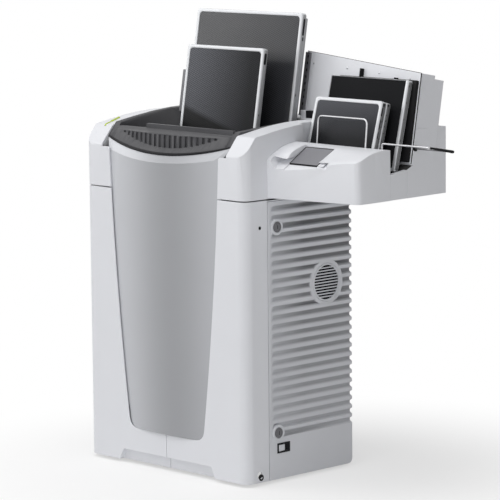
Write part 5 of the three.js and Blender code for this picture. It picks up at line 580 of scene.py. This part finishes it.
def moulded_copy(node, width):
    """A merged copy of a solid whose edges are rounded by a bevel, shaded smooth over its curves."""
    mesh = frame["nodes"][node].data.copy()
    shape = bmesh.new()
    shape.from_mesh(mesh)
    bmesh.ops.remove_doubles(shape, verts=shape.verts, dist=MERGE)
    bmesh.ops.dissolve_limit(shape, angle_limit=radians(FLAT_ANGLE), verts=shape.verts, edges=shape.edges)
    shape.to_mesh(mesh)
    shape.free()
    mesh.name = node + "_skin"
    mesh.materials.clear()
    slot = SLOT_OF[node]
    made = piece(mesh.name, mesh, LOOK_OF.get(node, slot), BODY_OF[node], (node,), SHARP_ANGLE, slot)
    if width > 0:
        round_over = made.modifiers.new("rounding", "BEVEL")
        round_over.width = width * MM
        round_over.segments = 2
        round_over.limit_method = "ANGLE"
        round_over.angle_limit = radians(SHARP_ANGLE)
        round_over.miter_outer = "MITER_ARC"
    return mesh


# solid: how wide its edges are rounded (mm)
SKIN_WIDTHS = {
    "front_cover_left": 1.5, "front_cover_right": 1.5, "front_panel": 1.0, "top_cover": 1.5,
    "input_backrest": 1.0, "output_front_housing": 1.5, "output_side_cover": 1.5,
    "output_back_plate": 1.0, "rear_housing": 1.5, "input_hopper": 0.0,
    "side_panel_left": 0.0, "side_panel_right": 0.0, "pusher_block": 0.8, "pusher_bracket": 0.8,
}
# the deck's crown in millimetres: what is taken off it, its front and its depth, and at its right and left
# ends the place where the cut starts and the run over which it grows
CROWN_CUT = 8.5
CROWN_FRONT, CROWN_DEPTH = -137.3, 92.0
CROWN_RIGHT, RIGHT_RUN = 340.0, 75.0
CROWN_LEFT, LEFT_RUN = 110.0, 40.0
# the recess of the screen: the height, place and fall of its sloping floor, the height of the deck's lower
# rim, where the recess ends at the right, and where the cut spares it: left of one place and behind another
FLOOR_TOP, FLOOR_BACK, FLOOR_FALL = 861.0, -45.8, 0.6009
RIM_HEIGHT = 822.0
RECESS_RIGHT, SPARED_LEFT, SPARED_BEHIND = 252, 240, -108
# a web that closes the gap in the left shoulder: its middle, its directions and its size
WEB_PLACE, WEB_SIZE = (-437.5, -186.3, 857.7), (58, 26)
WEB_AXES = np.array(((0, 0.64, 0.768), (0, -0.768, 0.64), (1.0, 0, 0)))


def flatter_deck(mesh):
    """Lowers the crown of the deck beside the screen: a half sine over the deck's depth times a smooth step
    at either end, taken off every point that lies above the screen's sloping floor or beside the recess."""
    points = np.empty(len(mesh.vertices) * 3, np.float32)
    mesh.vertices.foreach_get("co", points)
    points = points.reshape(-1, 3)
    across, deep, height = points.T / MM
    slope = FLOOR_TOP - FLOOR_FALL * (FLOOR_BACK - deep)
    share = np.clip((deep - CROWN_FRONT) / CROWN_DEPTH, 0, 1)
    step = np.clip((CROWN_RIGHT - across) / RIGHT_RUN, 0, 1)
    step = step * np.clip((across - CROWN_LEFT) / LEFT_RUN, 0, 1)
    floor = np.where(across > RECESS_RIGHT, RIM_HEIGHT, np.maximum(slope + 1.5, RIM_HEIGHT))
    raised = (height > floor) & ((across > SPARED_LEFT) | (deep < SPARED_BEHIND))
    points[:, 2] -= raised * CROWN_CUT * MM * np.sin(pi * share) * step * step * (3 - 2 * step)
    mesh.vertices.foreach_set("co", points.ravel())


class SCANNER_OT_skins(bpy.types.Operator):
    """Rounds the edges of the moulded covers and closes the left shoulder with a web"""
    bl_idname = "scanner.skins"
    bl_label = "Moulded skins"

    def execute(self, context):
        for node, width in SKIN_WIDTHS.items():
            mesh = moulded_copy(node, width)
            if node == "output_front_housing":
                flatter_deck(mesh)
        plate("shoulder_web", WEB_PLACE, WEB_AXES, WEB_SIZE, "white_plastic", thick=1.0)
        return {"FINISHED"}


CASSETTE_THICK = 15.0
# cassette: lean, frame widths at the left, bottom, right and top
CASSETTES = {"input_large": (9.5, (9, 9, 9, 9)), "input_small": (9.5, (9, 9, 9, 9)),
             "output_front": (16.0, (9, 9, 9, 9)), "output_middle": (16.0, (9, 9, 9, 9)),
             "output_rear": (14.0, (2, 9, 9, 2))}
# outer and inner corner radius of a wide and of a narrow frame
WIDE_CORNERS, NARROW_CORNERS = (8, 10), (2.5, 1.6)
# rows of a section: inset, share of the frame width, depth behind the face, loss of corner radius
RIM_STEPS = [(0, 0, 15, 0), (0, 0, 8.6, 0), (1.1, 0, 8.2, 1), (1.1, 0, 7.0, 1), (0, 0, 6.6, 0),
             (0, 0, 1.4, 0), (0.4, 0, 0.4, 0.4), (1.4, 0, 0, 1), (-1.2, 1, 0, 0), (-0.3, 1, 0.4, 0),
             (0, 1, 1.3, 0), (0, 1, 15, 0)]
FACE_STEPS = [(0.3, 1, 5.0, 0), (0.3, 1, 1.3, 0), (0.5, 1, 1.0, 0.2), (0.9, 1, 0.9, 0.6)]
CORE_STEPS = [(0.3, 1, 14.2, 0), (0.3, 1, 5.3, 0)]


def standing(node):
    """Where a cassette stands: its lower left corner, width, height and directions across, up and out."""
    lean = CASSETTES[node][0]
    foot, (width, height) = slab_place(node, lean, CASSETTE_THICK)
    return foot, width, height, leaning(lean)


def cassette(node):
    """A cassette: a grooved metal frame swept round it, a woven face sheet and a dark core behind it."""
    foot, width, height, axes = standing(node)
    widths = CASSETTES[node][1]
    outer, inner = WIDE_CORNERS if min(widths) > 4 else NARROW_CORNERS
    sheet = node + "_sheet"
    for suffix, steps, loop, look, replaced in (
            ("_frame", RIM_STEPS, True, "cassette_frame", (node,)),
            ("_face", FACE_STEPS, False, LOOK_OF.get(sheet, "cassette_sheet"),
             (sheet,) if sheet in frame["nodes"] else ()),
            ("_core", CORE_STEPS, False, "black_plastic", ())):
        sized = [(edge, share, deep, max((inner if share else outer) - less, 0.3))
                 for edge, share, deep, less in steps]
        rows = foot + rounded_rows((width, height), widths, sized) @ axes
        piece(node + suffix, surface(node + suffix, rows, loop), look, BODY_OF[node], replaced)


# marks on the right walls of the cassettes: from the top, length, depth behind the face, width
WALL_MARKS = {
    "output_front": [(5, 9, 7.0, 6.0), (16, 22, 5.0, 4.5), (46, 26, 5.0, 3.5), (48, 5, 11.0, 2.5),
                     (62, 4, 11.5, 2.5), (78, 18, 5.0, 3.0), (92, 5, 11.5, 2.5)],
    "output_middle": [(3, 8, 6.0, 6.0), (30, 4, 6.0, 2.5), (44, 4, 7.0, 2.5), (58, 5, 6.0, 2.5),
                      (76, 4, 7.0, 2.5), (95, 5, 6.0, 2.5)],
    "output_rear": [(12, 6, 5.0, 2.2), (54, 5, 6.0, 2.0), (96, 5, 6.0, 2.0), (150, 6, 5.0, 2.0)],
    "input_small": [(12, 30, 8.0, 8.0), (170, 5, 6.0, 2.0)],
    "input_large": [(14, 44, 9.0, 7.0), (62, 10, 10.0, 4.0), (210, 6, 6.0, 2.4)],
}
# the rail behind the large cassette: its distance from the right edge and its width; the bar at the left of
# the small one: its height and length as shares of the cassette's height, and its thickness
RAIL_INSET, RAIL_WIDTH = 4.5, 8
BAR_HEIGHT, BAR_LENGTH, BAR_THICK = 0.645, 0.32, 11.0


class SCANNER_OT_cassettes(bpy.types.Operator):
    """Makes the five cassettes: frames, woven faces, darker plates of painted shade on the walls at their
    right with marks there, a rail and a bar
    """
    bl_idname = "scanner.cassettes"
    bl_label = "Cassettes"

    def execute(self, context):
        for node in CASSETTES:
            cassette(node)
        for node, marks in WALL_MARKS.items():
            foot, width, height, (across, up, out) = standing(node)
            wall, body = np.array((up, out, across)), BODY_OF[node]
            corner = foot + across * width
            middle = corner + up * height / 2 - out * (CASSETTE_THICK / 2 + 1.0)
            # darker plates of painted shade on the right walls
            look = "output_wall" if node.startswith("output") else "cassette_wall"
            plate(node + "_wall", middle, wall, (height - 8, CASSETTE_THICK - 4), look, body, thick=0.3,
                  corner=3.0, edge=0.15)
            for number, (drop, tall, deep, wide) in enumerate(marks, 1):
                middle = corner + up * (height - drop - tall / 2) - out * deep
                plate(f"{node}_mark_{number}", middle, wall, (tall, wide), "black_plastic", body, thick=0.6,
                      corner=min(tall, wide) / 2.2, edge=0.15)
        foot, width, height, (across, up, out) = standing("input_large")
        middle = foot + across * (width - RAIL_INSET) + up * (height / 2) - out * CASSETTE_THICK
        # the rail wears the walls' darker look of painted shade
        plate("input_large_rail", middle, np.array((across, up, -out)), (RAIL_WIDTH, height - 24),
              "cassette_wall", "large_input_cassette", thick=7.0, corner=2.0, edge=0.8)
        foot, width, height, (across, up, out) = standing("input_small")
        leftward = np.array((out, up, -across))
        bar = foot + up * BAR_HEIGHT * height - out * CASSETTE_THICK / 2
        plate("input_small_bar", bar, leftward, (12, BAR_LENGTH * height), "channel_grey",
              "small_input_cassette", thick=BAR_THICK, corner=1.5)
        plate("input_small_tab", bar + up * 4 - across * BAR_THICK, leftward, (8, 26), "status_lens",
              "small_input_cassette", thick=0.4, corner=1.0, edge=0.15)
        return {"FINISHED"}


WIRE_RADIUS = 2.5
# the upright wire: how far it leans over its height, and how much shorter its right foot is
UPRIGHT_LEAN, UPRIGHT_SHORTER, UPRIGHT_BEND = 8.8, 8.0, 15.0
# the guard wire: the place of its front run, the rise of its root, its fall to the back, its end, its bend
GUARD_FRONT, GUARD_RISE, GUARD_FALL, GUARD_END, GUARD_BEND = 23.7, 30, 17.9, 369.0, 8.0
# its grip: how much thicker than the wire it is, along its length and at its ends
GRIP_THICK, GRIP_RIM = 1.3, 0.4
SOCKET_PROFILE = [(7.0, -1.0), (7.0, 1.6), (6.0, 2.6), (3.6, 2.6), (3.2, 1.2)]
# a black patch of painted shade on the tray's ramp: its middle and size along the ramp's directions; the pad
# on the back plate: its place and height, and size
TRAY_SHADE, TRAY_SHADE_SIZE = (348, 93, 809.3), (40, 40)
TRAY_AXES = np.array(((1.0, 0, 0), (0, 0.91, 0.415), (0, -0.415, 0.91)))
REAR_PAD, REAR_PAD_SIZE = (228, 925), (268, 206)
BACK_PLATE_LEAN, BACK_PLATE_SLOPE = 9.93, 0.1763
PLATE_SCREWS = ((110, 1046), (223, 1039), (-10, 1052), (330, 1030))
SCREW_PROFILE = [(2.6, 0.0), (2.6, 0.5), (2.1, 1.0), (1.2, 1.25)]
# the edge channel beside the back plate: its middle across, its foot's place and height; its holes
CHANNEL_X, CHANNEL_Y, CHANNEL_Z = -30.9, 115.7, 918.4
FIRST_HOLE, HOLE_PITCH, HOLE_COUNT = 930, 17.5, 9
SCREEN_LEAN, SCREEN_THICK = 59.0, 3.0
BEZEL_STEPS = [(0.2, 0, 3.0, 2), (0.2, 0, -0.4, 2), (0.6, 0, -0.8, 1.8), (2.0, 0, -0.8, 1.2),
               (2.4, 0, -0.2, 1.0), (2.4, 0, 3.0, 1.0)]
GLASS_STEPS = [(2.5, 0, 3.0, 1.0), (2.5, 0, 0.0, 1.0), (2.8, 0, -0.3, 0.8)]
DECK_CORNER, DECK_CORNER_SIZE = (258, -101.5, 826.2), (19, 16)


def on_back_plate(across, height):
    """A point of the back plate's face at a place across and a height."""
    low = mm_box("output_back_plate")[0]
    return np.array((across, low[1] + (height - low[2]) * BACK_PLATE_SLOPE - 0.1, height))


class SCANNER_OT_output_trim(bpy.types.Operator):
    """Trims the output unit: the screen's bezel and glass, the deck's corner, screws, the channel's holes"""
    bl_idname = "scanner.output_trim"
    bl_label = "Output trim"

    def execute(self, context):
        axes = leaning(SCREEN_LEAN)
        foot, size = slab_place("touch_screen", SCREEN_LEAN, SCREEN_THICK)
        rows = rounded_rows(size, (0, 0, 0, 0), BEZEL_STEPS, 4)
        piece("screen_bezel", surface("screen_bezel", foot + rows @ axes, True), "black_plastic")
        rows = rounded_rows(size, (0, 0, 0, 0), GLASS_STEPS, 4)
        piece("screen_glass", surface("screen_glass", foot + rows @ axes), "screen",
              replaces=("touch_screen",))
        plate("deck_corner", DECK_CORNER, axes, DECK_CORNER_SIZE, "white_plastic", thick=2.4, corner=2.0)
        axes = leaning(BACK_PLATE_LEAN)
        for number, place in enumerate(PLATE_SCREWS, 1):
            turned(f"plate_screw_{number}", on_back_plate(*place), axes, SCREW_PROFILE, "steel", sides=20)
        for number in range(HOLE_COUNT):
            height = FIRST_HOLE + number * HOLE_PITCH
            centre = (CHANNEL_X, CHANNEL_Y + (height - CHANNEL_Z) * BACK_PLATE_SLOPE + 2.6, height)
            plate(f"channel_hole_{number + 1}", centre, axes, (3.6, 7.0), "black_plastic", thick=0.3,
                  corner=1.6, edge=0.1)
        return {"FINISHED"}


class SCANNER_OT_wires(bpy.types.Operator):
    """Bends the upright wire and the guard wire with its grip and socket, lays a black patch of painted shade
    on the tray's ramp and a pad on the back plate
    """
    bl_idname = "scanner.wires"
    bl_label = "Wires"

    def execute(self, context):
        low, high = mm_box("upright_wire")
        left, right = low[0] + WIRE_RADIUS, high[0] - WIRE_RADIUS
        foot, top, lean = low[2] + WIRE_RADIUS, high[2] - WIRE_RADIUS, high[1] - WIRE_RADIUS
        heel = lean - UPRIGHT_LEAN
        corners = [(left, low[1], foot), (left, heel, foot), (left, lean, top), (right, lean, top),
                   (right, heel, foot), (right, low[1] + UPRIGHT_SHORTER, foot)]
        tube("upright_rod", bent(corners, UPRIGHT_BEND, 10), WIRE_RADIUS, "bright_wire",
             replaces=("upright_wire",))
        low, high = mm_box("guard_wire")
        root, tip = low[0] + WIRE_RADIUS, high[0] - WIRE_RADIUS
        back, top = high[1] - WIRE_RADIUS, high[2] - WIRE_RADIUS
        start, fallen = top - GUARD_RISE, top - GUARD_FALL
        corners = [(root, low[1], start), (root, GUARD_FRONT, start), (root, GUARD_FRONT, top),
                   (tip, GUARD_FRONT, top), (tip, back, fallen), (GUARD_END, back, fallen)]
        tube("guard_rod", bent(corners, GUARD_BEND, 8), WIRE_RADIUS, "bright_wire", replaces=("guard_wire",))
        corners = [(tip, GUARD_FRONT + 5, top - 1), (tip, back, fallen), (tip - 14, back, fallen)]
        path = bent(corners, GUARD_BEND, 10)
        radii = np.full(len(path), WIRE_RADIUS + GRIP_THICK)
        radii[[0, -1]] = WIRE_RADIUS + GRIP_RIM
        tube("guard_grip", path, radii, "black_rubber", replaces=("guard_sleeve",))
        turned("guard_socket", (GUARD_END, back, fallen), SIDE, SOCKET_PROFILE, "black_rubber", sides=24)
        # a black patch of painted shade on the tray's ramp
        plate("tray_pad", TRAY_SHADE, TRAY_AXES, TRAY_SHADE_SIZE, "black_rubber", thick=0.6, corner=2.0, edge=0.2)
        plate("rear_pad", on_back_plate(*REAR_PAD), leaning(BACK_PLATE_LEAN), REAR_PAD_SIZE, "black_rubber",
              thick=8.0, corner=3.0, edge=1.0)
        return {"FINISHED"}


# the light's bits in plan (mm): start, end, radius
STATUS_BITS = (((-462, -181), (-468, -156), 2.4), ((-470, -150), (-484, -112), 3.5))
ABOVE_ALL = 1.2


class SCANNER_OT_status_light(bpy.types.Operator):
    """Lays the two bits of the status light on the left shoulder"""
    bl_idname = "scanner.status_light"
    bl_label = "Status light"

    def execute(self, context):
        shape = bmesh.new()
        shape.from_mesh(frame["nodes"]["top_cover"].data)
        ground = BVHTree.FromBMesh(shape)
        shape.free()
        for number, (start, end, radius) in enumerate(STATUS_BITS, 1):
            plan = np.linspace(start, end, 9)
            heights = [ground.ray_cast(Vector((x * MM, y * MM, ABOVE_ALL)), Vector((0, 0, -1.0)))[0][2] / MM
                       for x, y in plan]
            tube(f"status_bit_{number}", np.column_stack((plan, heights)), radius, "status_lens",
                 replaces=("status_light",))
        return {"FINISHED"}


# the dark joint and painted shadow under the hopper's lip: its ends' place and height, how far its middle
# comes forward and down, half its length, and its radius at the ends and what the middle has more
LIP_PLACE, LIP_HEIGHT, LIP_FORWARD, LIP_DROP = -195.0, 863.0, 32.6, 29.6
LIP_REACH, LIP_RADIUS, LIP_SWELL = 233.0, 1.2, 2.6
# how far the back plate's top edge falls towards the right
PLATE_DROP = 38.0


class SCANNER_OT_seams(bpy.types.Operator):
    """Draws the dark joints: under the hopper's lip, where the line is also painted shadow, and along the
    back plate's top and right edges
    """
    bl_idname = "scanner.seams"
    bl_label = "Seams"

    def execute(self, context):
        share = np.linspace(-0.985, 0.985, 49)
        dip = 1 - share ** 2
        path = np.stack([MIDDLE_X / MM + share * LIP_REACH, LIP_PLACE - LIP_FORWARD * dip,
                         LIP_HEIGHT - LIP_DROP * dip], -1)
        tube("lip_joint", path, LIP_RADIUS + LIP_SWELL * dip ** 0.5, "black_plastic", sides=8)
        low, high = mm_box("output_back_plate")
        end = high[2] - PLATE_DROP
        top = np.linspace((low[0], high[1] - 1.2, high[2] - 0.2), (high[0], high[1] - 8.0, end), 3)
        tube("plate_top_seam", top, 1.0, "black_rubber", sides=8)
        right = high[0] + 0.4
        side = np.linspace((right, low[1] + 2.4, low[2] + 2), (right, high[1] - 8.4, end), 3)
        tube("plate_side_seam", side, 1.3, "black_rubber", sides=8)
        return {"FINISHED"}


def ring_profile(inner, outer, foot, rise, edge=0.6):
    """Section of a flat ring with rounded upper edges."""
    return [(inner, foot), (inner, rise - edge), (inner + edge, rise), (outer - edge, rise),
            (outer, rise - edge), (outer, foot)]


# sections of the door's trim: radius, height over the door's face (mm)
LOCK_BOSS = ring_profile(14.4, 21.0, -7.0, 1.6, 1.2)
LOCK_DISC = [(13.6, 0.15), (13.6, 1.6), (12.6, 2.3), (11.2, 2.3), (10.6, 1.3), (8.4, 1.3), (7.8, 2.5),
             (5.0, 2.9)]
LOCK_IN, SLOT_RISE = 9.0, 2.75
VENT_RING = ring_profile(44.6, 49.0, -4.5, 1.2, 0.8)
VENT_RADIUS = 44.9
# a black disc behind the vent's slots: painted shade of the machine's inside
VENT_SHADE_DISC = [(VENT_RADIUS, -4.4), (VENT_RADIUS, -3.0), (43.8, -2.6)]
BAR_PITCH, BAR_COUNT, BAR_SUNK = 7.5, 11, 3.2
# round trim of the right side: place back and up, radius, depth under the face; the black disc in the jack
# hole is painted shade
ROUND_TRIM = {"cover_screw": (-163.5, 660.4, 4.4, 0.4), "jack_plug": (-166.5, 21.0, 8.6, -0.5)}


class SCANNER_OT_side_trim(bpy.types.Operator):
    """Trims the right side: bosses, discs and slots of the locks, the vent's parts with a black disc of
    painted shade behind them, a screw and a black disc of painted shade in the jack hole
    """
    bl_idname = "scanner.side_trim"
    bl_label = "Side trim"

    def execute(self, context):
        face = mm_box("side_panel_right")[1][0]
        for which in ("upper", "lower"):
            low, high = mm_box("lock_" + which)
            centre = np.array((face, high[1] - LOCK_IN, (low[2] + high[2]) / 2))
            lock = which + "_lock"
            turned(lock + "_boss", centre, SIDE, LOCK_BOSS, "grey_paint", "service_door", loop=True)
            turned(lock + "_disc", centre, SIDE, LOCK_DISC, "channel_grey", lock)
            plate(lock + "_slot", centre + np.array((SLOT_RISE, 0, 0)), SIDE, (2.2, 10.0), "black_plastic",
                  lock, thick=0.3, corner=0.7, edge=0.1)
        low, high = mm_box("vent_grille")
        centre = np.array((face, (low[1] + high[1]) / 2, (low[2] + high[2]) / 2))
        turned("vent_ring", centre, SIDE, VENT_RING, "grey_paint", "service_door", sides=72, loop=True,
               replaces=("vent_grille",))
        # a black disc of painted shade behind the slots
        turned("vent_filter", centre, SIDE, VENT_SHADE_DISC, "black_rubber", "service_door", sides=48)
        for number in range(BAR_COUNT):
            height = (number - BAR_COUNT // 2) * BAR_PITCH
            half = (VENT_RADIUS ** 2 - height ** 2) ** 0.5
            plate(f"vent_bar_{number + 1}", centre + np.array((-BAR_SUNK, 0, height)), SIDE, (2 * half, 2.9),
                  "grey_paint", "service_door", thick=3.4, corner=0.6, edge=0.5)
        for name, (back, height, radius, sunk) in ROUND_TRIM.items():
            turned(name, (face, back, height), SIDE,
                   [(radius, -3.0 - sunk), (radius, -sunk - 0.6), (radius - 0.6, -sunk),
                    (radius * 0.45, -sunk), (radius * 0.4, -sunk - 0.9)], "black_plastic", sides=28)
        return {"FINISHED"}


# ------------------------ stage

LAMP_SIZE = 3.0
# lamp: where it stands, the height of the point that it faces (metres)
LAMPS = {"left": ((-4.2, -3.0, 2.6), 0.7), "right": ((5.2, -1.0, 2.5), 0.7),
         "high": ((1.4, -3.0, 4.2), 0.9), "camera": ((4.2, -4.0, 3.2), 0.7),
         "top": ((-0.6, -1.0, 4.2), 0.8), "front": ((2.0, -5.0, 2.0), 0.7)}
FLOOR_REACH = 14.0


def area_lamp(name, place, height, power):
    """A soft square lamp at a place, turned to a point above the middle of the floor."""
    data = bpy.data.lights.new(name, "AREA")
    data.size = LAMP_SIZE
    data.energy = power
    lamp = new_object(name, data)
    lamp.location = place
    lamp.rotation_euler = (Vector((0, 0, height)) - Vector(place)).to_track_quat("-Z", "Y").to_euler()


def in_sight(tree):
    """1 for a ray from the camera or a mirror, 0 for the light that falls on things."""
    path = wire(tree, "ShaderNodeLightPath").outputs
    return calc(tree, "MAXIMUM", path["Is Camera Ray"], path["Is Glossy Ray"])


def floor_material(tint):
    """Pale floor: the camera and mirrors see the backdrop colour far out, and near the machine less of it, so
    that its shadow shows."""
    made, tree, shader = new_material("pale_floor")
    clouds = noise(tree, own_place(tree), Scale=3.0, Detail=4.0)
    tree.links.new(ramp(tree, clouds, 0.0, 1.0, 0.90, 0.93), shader["Base Color"])
    shader["Roughness"].default_value = 0.9
    away = wire(tree, "ShaderNodeVectorMath", operation="LENGTH", i0=own_place(tree)).outputs["Value"]
    fade = ramp(tree, away, 0.35, 1.1, 0.55, 1.0, interpolation_type="SMOOTHSTEP")
    white = wire(tree, "ShaderNodeEmission", Color=(*tint, 1.0), Strength=1.0)
    mixed = wire(tree, "ShaderNodeMixShader", i0=calc(tree, "MULTIPLY", fade, in_sight(tree)),
                 i1=tree.nodes["Principled BSDF"].outputs[0], i2=white.outputs[0])
    tree.links.new(mixed.outputs[0], tree.nodes["Material Output"].inputs["Surface"])
    return made


class SCANNER_OT_stage(bpy.types.Operator):
    """Sets the floor, the soft lamps, the room and the camera"""
    bl_idname = "scanner.stage"
    bl_label = "Stage"

    def execute(self, context):
        scene = context.scene
        stage = scene.scanner_stage
        mesh = bpy.data.meshes.new("floor")
        corners = [(-1, -1), (1, -1), (1, 1), (-1, 1)]
        mesh.from_pydata([(x * FLOOR_REACH, y * FLOOR_REACH, 0) for x, y in corners], [], [(0, 1, 2, 3)])
        floor = new_object("floor", mesh)
        mesh.materials.append(floor_material(tuple(stage.backdrop)))
        for which, (place, height) in LAMPS.items():
            area_lamp(which + "_lamp", place, height, getattr(stage, which + "_power"))
        world = bpy.data.worlds.new("studio")
        world.use_nodes = True
        tree = world.node_tree
        room = tree.nodes["Background"]
        level = ramp(tree, in_sight(tree), 0.0, 1.0, stage.room_light, 1.0)
        tree.links.new(level, room.inputs["Strength"])
        room.inputs["Color"].default_value = (*stage.backdrop, 1.0)
        scene.world = world
        data = bpy.data.cameras.new("photo_view")
        data.sensor_width = 36.0
        data.lens = stage.lens
        data.clip_end = 100.0
        camera = new_object("photo_view", data)
        ahead = Vector(stage.camera_forward).normalized()
        right = ahead.cross(Vector(stage.camera_up)).normalized()
        turn = Matrix((right, right.cross(ahead), -ahead)).transposed()
        camera.matrix_world = Matrix.Translation(stage.camera_place) @ turn.to_4x4()
        scene.camera = camera
        scene.view_settings.view_transform = "Standard"
        return {"FINISHED"}


class SCANNER_PT_panel(bpy.types.Panel):
    """The sidebar panel with the scanner's pieces, colours and stage"""
    bl_idname = "SCANNER_PT_panel"
    bl_label = "Plate Scanner"
    bl_space_type = "VIEW_3D"
    bl_region_type = "UI"
    bl_category = "Scanner"

    def draw(self, context):
        for operator in OPERATORS:
            self.layout.operator(operator.bl_idname)
        for group in (context.scene.scanner_colours, context.scene.scanner_stage):
            for name in group.__annotations__:
                self.layout.prop(group, name)


OPERATORS = (SCANNER_OT_stage, SCANNER_OT_finishes, SCANNER_OT_skins, SCANNER_OT_cassettes,
             SCANNER_OT_output_trim, SCANNER_OT_wires, SCANNER_OT_status_light, SCANNER_OT_seams,
             SCANNER_OT_side_trim)
CLASSES = (ScannerColours, ScannerStage, *OPERATORS, SCANNER_PT_panel)


def register():
    for item in CLASSES:
        bpy.utils.register_class(item)
    bpy.types.Scene.scanner_colours = PointerProperty(type=ScannerColours)
    bpy.types.Scene.scanner_stage = PointerProperty(type=ScannerStage)


def unregister():
    del bpy.types.Scene.scanner_stage
    del bpy.types.Scene.scanner_colours
    for item in reversed(CLASSES):
        bpy.utils.unregister_class(item)


def main():
    """Builds the whole scene in order."""
    register()
    bpy.ops.scanner.stage()
    bpy.ops.scanner.finishes()
    bpy.ops.scanner.skins()
    bpy.ops.scanner.cassettes()
    bpy.ops.scanner.output_trim()
    bpy.ops.scanner.wires()
    bpy.ops.scanner.status_light()
    bpy.ops.scanner.seams()
    bpy.ops.scanner.side_trim()


if __name__ == "__main__":
    main()
